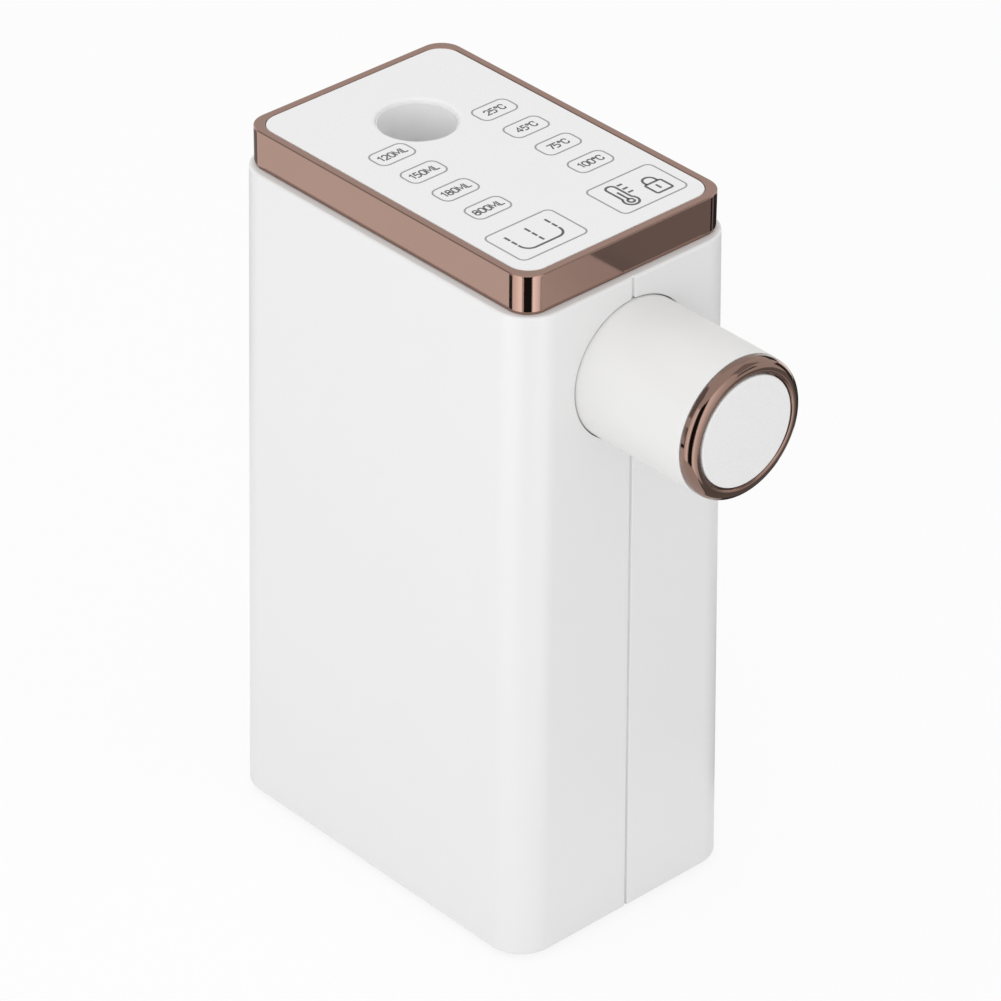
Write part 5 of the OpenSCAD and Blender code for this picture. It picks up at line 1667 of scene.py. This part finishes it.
    def rocker(self) -> Surface:
        """Carry the rocker's outline across, with its sides rounded.

        Near a side the outline shrinks towards its middle m: a point p goes to
        m + (p - m)(1 - d / h), with d the rounding's inset and h the outline's half sizes.

        Returns:
            The closed skin.
        """
        tip_up, tip_out = self.rocker_tip
        heel_up, heel_out = self.heel
        outline = rounded_path(
            [(-heel_up, -heel_out), (heel_up, -heel_out), (self.rocker_end, 0), (tip_up, tip_out),
             (0, self.crown), (-tip_up, tip_out), (-self.rocker_end, 0)],
            [self.heel_round, self.heel_round, self.end_round, self.tip_round, self.crown_round,
             self.tip_round, self.end_round])
        middle = np.array([0, (self.crown - heel_out) / 2])
        half = np.array([self.rocker_end, (self.crown + heel_out) / 2])
        inset = self.edge * (1 - np.cos(BEND))
        across = self.rocker_half - self.edge * (1 - np.sin(BEND))
        inset = np.concatenate([inset[::-1], inset])
        across = np.concatenate([-across[::-1], across])
        flat = middle + (outline - middle)[None] * (1 - inset[:, None, None] / half)
        x = np.broadcast_to(across[:, None, None], flat.shape[:2] + (1,))
        return self.tilted(self.capped(np.concatenate([x, flat], axis=-1)))

    def marks(self) -> Surface:
        """Print a bar on the rocker's upper face and a ring on its lower face.

        A mark's point at x, distance s from the crown and height h lies at
        crown + s (cos t, -sin t) + h (sin t, cos t) in up and out, with t the face's angle.

        Returns:
            Both marks.
        """
        angle = np.arange(self.mark_steps) * (2 * math.pi / self.mark_steps)
        ring = self.mark_half * np.stack([np.cos(angle), np.sin(angle)], axis=1)
        bar = np.array([[0, -self.mark_half], [0, self.mark_half]])
        cos, sin = math.cos(self.tilt), math.sin(self.tilt)
        marks = []
        for path, side, closed in ((bar, 1, False), (ring, -1, True)):
            line = printed_line(path + (0, self.mark_at), self.mark_line, self.mark_rise, closed)
            x, s, h = line.points.T
            marks.append(Surface(np.stack(
                [x, side * (s * cos + h * sin), self.crown - s * sin + h * cos], axis=1),
                line.faces))
        return self.tilted(joined(marks))

    def build(self) -> None:
        """Make the inlet, the switch's frame, its rocker and the rocker's marks."""
        add_piece("inlet_socket", self.inlet(), BLACK_PLASTIC,
                  replaced=("power_inlet",))
        add_piece("switch_bezel", self.switch(), BLACK_PLASTIC,
                  replaced=("switch_frame",))
        add_piece("rocker_key", self.rocker(), BLACK_PLASTIC, body="rocker",
                  replaced=("power_rocker",))
        add_piece("rocker_marks", self.marks(), SWITCH_MARK, body="rocker")


@dataclass
class ReturnSpring:
    """The non-return valve's spring, which shortens as the valve opens.

    Attributes:
        wire: Radius of the wire.
        turns: How often it goes round.
        rings: Rings of points in a turn.
        sides: Points in a ring.
        travel: How far the valve opens; not used.
    """

    wire: float = 0.35 * MM
    turns: int = 5
    rings: int = 32
    sides: int = 12
    travel: float = 2.5 * MM

    def build(self) -> None:
        """Wind the wire up from its lower end.

        Point (i, k) is (u cos a, u sin a, w + c i + w sin b) from the middle of the lower end,
        with a = 2 pi i / rings, b = 2 pi k / sides, u = r + w cos b, w the wire's radius, r the
        coil's and c the climb from ring to ring. A last point at each end closes the wire.
        """
        low, high = node_box("valve_spring")
        radius = (high[0] - low[0]) / 2 - self.wire
        steps = self.turns * self.rings
        ring = np.clip(np.arange(-1, steps + 2), 0, steps)[:, None]
        size = np.full(ring.shape, self.wire)
        size[[0, -1]] = 0.0
        a = ring * (2 * math.pi / self.rings)
        b = np.arange(self.sides)[None] * (2 * math.pi / self.sides)
        out = radius + size * np.cos(b)
        climb = (high[2] - low[2] - 2 * self.wire) / steps
        grid = np.stack([out * np.cos(a), out * np.sin(a),
                         self.wire + climb * ring + size * np.sin(b)], axis=-1)
        foot = np.append((low[:2] + high[:2]) / 2, low[2])
        spring = add_piece("return_spring", grid_surface(grid + foot, wrap_columns=True), STEEL,
                           replaced=("valve_spring",))
        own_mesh(spring)


@dataclass
class Feet:
    """Four soft feet under the base plate.

    Attributes:
        radius: Radius of a foot.
        narrow: How much it narrows towards the floor.
        in_base: Length of a foot inside the base.
        sole_edge: Rounding of the edge on the floor.
        edge: Rounding of the other edges.
        steps: Points round a foot.
    """

    radius: float = 7 * MM
    narrow: float = 1 * MM
    in_base: float = 1 * MM
    sole_edge: float = 0.5 * MM
    edge: float = 0.2 * MM
    steps: int = 48

    def build(self) -> None:
        """Turn one foot's section about each of the four places."""
        low, high = node_box("rubber_feet")
        tall = high[2] - low[2]
        section = rounded_path(
            [(0, 0), (self.radius - self.narrow, 0), (self.radius, tall - self.in_base),
             (self.radius, tall), (0, tall)],
            [0, self.sole_edge, self.edge, self.edge, 0], closed=False)
        places = [(x, y, low[2]) for x in (low[0] + self.radius, high[0] - self.radius)
                  for y in (low[1] + self.radius, high[1] - self.radius)]
        feet = [revolve(section, place, UP, RIGHT, self.steps, closed=False)
                for place in places]
        add_piece("soft_feet", joined(feet), RUBBER_GREY,
                  replaced=("rubber_feet",))


def dress_carried_over() -> None:
    """Give every CAD node that stays its procedural finish."""
    for finish, nodes in CARRIED_OVER.items():
        for name in nodes:
            node = frame["nodes"][name]
            for place in node.material_slots:
                place.material = finish.material()
            if not node.material_slots:
                node.data.materials.append(finish.material())
            log.info("%s: %s", name, finish.name)


@dataclass(frozen=True)
class Lamp:
    """A square soft lamp that shiny pieces don't see.

    Attributes:
        name: Its name.
        place: Where it hangs.
        side: Length of its side.
        watts: Its power.
    """

    name: str
    place: Triple
    side: float
    watts: float

    def build(self, target: Sequence[float]) -> None:
        """Hang the lamp.

        Args:
            target: The point that it lights.
        """
        data = bpy.data.lights.new(self.name, "AREA")
        data.shape, data.size, data.energy = "SQUARE", self.side, self.watts
        lamp = put_in_scene(self.name, data)
        lamp.location = self.place
        way = Vector(target) - Vector(self.place)
        lamp.rotation_euler = way.to_track_quat("-Z", "Y").to_euler()
        lamp.visible_glossy = False


@dataclass(frozen=True)
class Card:
    """A card that only reflections see, square to the line to what it faces.

    Attributes:
        name: Its name.
        centre: Its middle.
        facing: The point that it faces.
        width: Its level side.
        height: Its other side.
        brightness: 0 for black and 1 for white.
        edge: Brightness of its left end.
        fade: Length over which the left end's brightness gives way.
    """

    name: str
    centre: Triple
    facing: Triple
    width: float
    height: float
    brightness: float
    edge: float = 0.0
    fade: float = 0.0

    def build(self) -> None:
        """Stand the card: its points are centre + i width u + j height v for i, j of -1/2, 1/2."""
        way = Vector(self.facing) - Vector(self.centre)
        turn = way.to_track_quat("Z", "Y").to_matrix()
        u, v = np.array(turn.col[0]), np.array(turn.col[1])
        i, j = np.meshgrid([-0.5, 0.5], [-0.5, 0.5], indexing="ij")
        grid = (np.array(self.centre) + i[..., None] * self.width * u
                + j[..., None] * self.height * v)
        piece = put_in_scene(self.name, clean_mesh(self.name, grid_surface(grid)))
        material = bpy.data.materials.new(self.name)
        material.use_nodes = True
        nodes, links = material.node_tree.nodes, material.node_tree.links
        nodes.remove(nodes["Principled BSDF"])
        glow = nodes.new("ShaderNodeEmission")
        glow.inputs["Color"].default_value = WHITE
        glow.inputs["Strength"].default_value = self.brightness
        links.new(glow.outputs["Emission"], nodes["Material Output"].inputs["Surface"])
        if self.fade:
            place = nodes.new("ShaderNodeTexCoord")
            along = nodes.new("ShaderNodeVectorMath")
            along.operation = "DOT_PRODUCT"
            along.inputs[1].default_value = u
            links.new(place.outputs["Object"], along.inputs[0])
            ramp = nodes.new("ShaderNodeMapRange")
            ramp.interpolation_type = "SMOOTHSTEP"
            start = float(np.dot(self.centre, u)) - self.width / 2
            ramp.inputs["From Min"].default_value = start
            ramp.inputs["From Max"].default_value = start + self.fade
            ramp.inputs["To Min"].default_value = self.edge
            ramp.inputs["To Max"].default_value = self.brightness
            links.new(along.outputs["Value"], ramp.inputs["Value"])
            links.new(ramp.outputs["Result"], glow.inputs["Strength"])
        piece.data.materials.append(material)
        piece.visible_camera = piece.visible_diffuse = False
        piece.visible_shadow = piece.visible_transmission = False


@dataclass
class Studio:
    """A pale floor, soft lamps, a white surround and cards that only shiny pieces see.

    Attributes:
        floor_half: Half of the floor's side.
        floor_tone: How much light the floor throws back.
        floor_white: Share of plain white that the camera sees in the floor.
        ambient: Light of the surround on matt surfaces.
        target: Where the lamps point.
        lamps: The soft lamps.
        cards: The single cards over, beside and under the object.
        corners: The middles of three of the trim's corners, with the lower and upper level of
            the strips that stand round each. A strip has its start and end in degrees from the
            camera's side towards the right, and its brightness there.
        strip_reach: Distance of the strips from the corner.
        uprights: Cards of a wide circle, repeated every quarter: the direction of the middle
            and the width in degrees, and the brightness.
        upright_reach: Radius of that circle.
        upright_height: Height of its cards.
    """

    floor_half: float = 4.0
    floor_tone: float = 0.92
    floor_white: float = 0.85
    ambient: float = 0.79
    target: Triple = (0.0, 0.02, 0.13)
    lamps: tuple[Lamp, ...] = (
        Lamp("key_lamp", (-1.6, -1.06, 0.85), 1.2, 8.0),
        Lamp("top_lamp", (-0.3, 0.3, 2.2), 1.4, 6.0),
    )
    cards: tuple[Card, ...] = (
        Card("rim_card", (0.556, 0.648, 0.804), (0, 0.024, 0.254), 1.0, 1.0, 0.84),
        Card("left_pale", (-0.32, 0.31, 0.001), (-0.32, 0.31, 1.0), 0.36, 0.46, 1.14),
        Card("front_grey", (0.18, -0.27, 0.001), (0.18, -0.27, 1.0), 0.34, 0.34, 0.27),
        Card("front_dark", (0.497, -0.36, 0.002), (0.497, -0.36, 1.0), 0.42, 0.6, 0.32,
             edge=0.75, fade=0.022),
        Card("left_flag", (-0.55, 0.65, 0.81), (0, 0.024, 0.254), 0.7, 0.7, 0.35),
        Card("front_flag", (0.556, -0.60, 0.878), (0, -0.05, 0.254), 0.6, 0.6, 0.5),
        Card("right_flag", (0.36, 0.03, 0.27), (0.01, -0.09, 0.22), 0.2, 0.1, 0.05),
        Card("low_flag", (0.26, -0.45, 0.31), (0, -0.09, 0.19), 0.16, 0.1, 0.2),
        Card("right_dark", (0.30, -0.02, 0.02), (0.02, -0.09, 0.21), 0.24, 0.16, 0.04),
        Card("under_dark", (0.15, -0.06, 0.001), (0.15, -0.06, 1.0), 0.14, 0.16, 0.04),
    )
    corners: tuple[tuple[Pair, Pair, tuple[Floats, ...]], ...] = (
        ((-0.0344, -0.0339), (0, 0.42), (
            (-66, -24, 1.4, 2.1), (-16, 19, 0.02, 0.02), (23, 70, 2.1, 1.1))),
        ((-0.0344, -0.0339), (0.086, 0.116), ((-87, -69, 0.02, 0.02), (70, 88, 1.0, 0.75))),
        ((0.0344, -0.0339), (0, 0.14), ((97, 108, 0.02, 0.02),)),
        ((-0.0344, 0.0819), (0, 0.14), ((-165, -118, 0.3, 0.3),)),
    )
    strip_reach: float = 0.25
    uprights: tuple[Triple, ...] = ((70, 18, 0.05), (95, 16, 2.0))
    upright_reach: float = 0.65
    upright_height: float = 0.26

    @staticmethod
    def by_ray(nodes: bpy.types.Nodes, links: bpy.types.NodeLinks, seen: float,
               other: float) -> bpy.types.NodeSocket:
        """Choose a number by the kind of ray.

        Args:
            nodes: The tree's nodes.
            links: The tree's links.
            seen: The number on camera, glossy and transmission rays.
            other: The number on all other rays.

        Returns:
            The socket that carries the number.
        """
        path = nodes.new("ShaderNodeLightPath")
        socket = None
        for name in ("Is Camera Ray", "Is Glossy Ray", "Is Transmission Ray"):
            choice = nodes.new("ShaderNodeMix")
            choice.inputs["A"].default_value = other
            choice.inputs["B"].default_value = seen
            links.new(path.outputs[name], choice.inputs["Factor"])
            if socket:
                links.new(socket, choice.inputs["A"])
            socket = choice.outputs["Result"]
        return socket

    def surround(self) -> None:
        """Make the world white for the camera and shiny pieces, and dimmer for matt ones."""
        world = bpy.data.worlds.new("surround")
        bpy.context.scene.world = world
        world.use_nodes = True
        nodes, links = world.node_tree.nodes, world.node_tree.links
        light = nodes["Background"]
        light.inputs["Color"].default_value = WHITE
        links.new(self.by_ray(nodes, links, 1.0, self.ambient), light.inputs["Strength"])

    def floor(self) -> None:
        """Lay a pale floor that keeps the object's shadow on white."""
        side = self.floor_half * np.array([-1.0, 1.0])
        x, y = np.meshgrid(side, side, indexing="ij")
        grid = np.stack([x, y, np.zeros_like(x)], axis=-1)
        piece = put_in_scene("floor", clean_mesh("floor", grid_surface(grid)))
        material = bpy.data.materials.new("pale_floor")
        material.use_nodes = True
        nodes, links = material.node_tree.nodes, material.node_tree.links
        nodes.remove(nodes["Principled BSDF"])
        matt = nodes.new("ShaderNodeBsdfDiffuse")
        matt.inputs["Color"].default_value = (*[self.floor_tone] * 3, 1)
        white = nodes.new("ShaderNodeEmission")
        white.inputs["Color"].default_value = WHITE
        mix = nodes.new("ShaderNodeMixShader")
        links.new(self.by_ray(nodes, links, self.floor_white, 0.0), mix.inputs["Fac"])
        links.new(matt.outputs["BSDF"], mix.inputs[1])
        links.new(white.outputs["Emission"], mix.inputs[2])
        links.new(mix.outputs["Shader"], nodes["Material Output"].inputs["Surface"])
        piece.data.materials.append(material)

    def corner_strips(self) -> list[Card]:
        """Stand the upright strips round the trim's corners.

        Returns:
            One card for each strip.
        """
        strips = []
        for (x, y), (low, high), spans in self.corners:
            start = math.atan2(PhotoCamera.place[1] - y, PhotoCamera.place[0] - x)
            for first, last, brightness, last_brightness in spans:
                angle = start + math.radians((first + last) / 2)
                centre = (x + self.strip_reach * math.cos(angle),
                          y + self.strip_reach * math.sin(angle), (low + high) / 2)
                width = 2 * self.strip_reach * math.tan(math.radians(last - first) / 2)
                strips.append(Card(f"corner_strip_{len(strips)}", centre, (x, y, centre[2]),
                                   width, high - low, brightness, last_brightness, width))
        return strips

    def upright_cards(self) -> list[Card]:
        """Stand bright and dark cards on the wide circle, so that metal has stripes all round.

        Returns:
            The cards.
        """
        cards = []
        height = self.upright_height / 2
        for quarter in range(4):
            for middle, width, brightness in self.uprights:
                angle = math.radians(middle) + quarter * QUARTER
                centre = (self.upright_reach * math.cos(angle),
                          self.upright_reach * math.sin(angle), height)
                cards.append(Card(f"upright_card_{len(cards)}", centre, (0, 0, height),
                                  self.upright_reach * math.radians(width), self.upright_height,
                                  brightness))
        return cards

    def build(self) -> None:
        """Set up the surround, floor, lamps and cards."""
        self.surround()
        self.floor()
        for lamp in self.lamps:
            lamp.build(self.target)
        for card in (*self.cards, *self.corner_strips(), *self.upright_cards()):
            card.build()


@dataclass
class PhotoCamera:
    """The camera at the photograph's viewing angle.

    Attributes:
        place: Where it stands.
        target: The point in the middle of the picture.
        roll: How far its right side is turned up.
        lens: Focal length in millimetres.
        sensor: Width of the picture behind the lens in millimetres.
    """

    place: Triple = (-1.02638, -1.10151, 1.11533)
    target: Triple = (0.00854, 0.02417, 0.12236)
    roll: float = math.radians(0.43)
    lens: float = 201.45
    sensor: float = 36.0

    def build(self) -> None:
        """Make the camera and use it for the scene."""
        data = bpy.data.cameras.new("photo_camera")
        data.lens, data.sensor_width = self.lens, self.sensor
        camera = put_in_scene("photo_camera", data)
        way = Vector(self.target) - Vector(self.place)
        turn = way.to_track_quat("-Z", "Y").to_matrix() @ Matrix.Rotation(self.roll, 3, "Z")
        camera.location = self.place
        camera.rotation_euler = turn.to_euler()
        bpy.context.scene.camera = camera


def main() -> None:
    """Build the camera, every sub-assembly and the studio, and give the kept CAD nodes their
    finishes.
    """
    logging.basicConfig(level=logging.INFO, format="%(name)s %(message)s")
    bpy.context.scene.view_settings.view_transform = "Standard"
    for part in (PhotoCamera(), HousingShell(), TrimRing(), TouchPanel(), Inlet(), Spout(),
                 PowerBay(), ReturnSpring(), Feet(), Studio()):
        part.build()
        log.info("built %s", type(part).__name__)
    dress_carried_over()


if __name__ == "__main__":
    main()
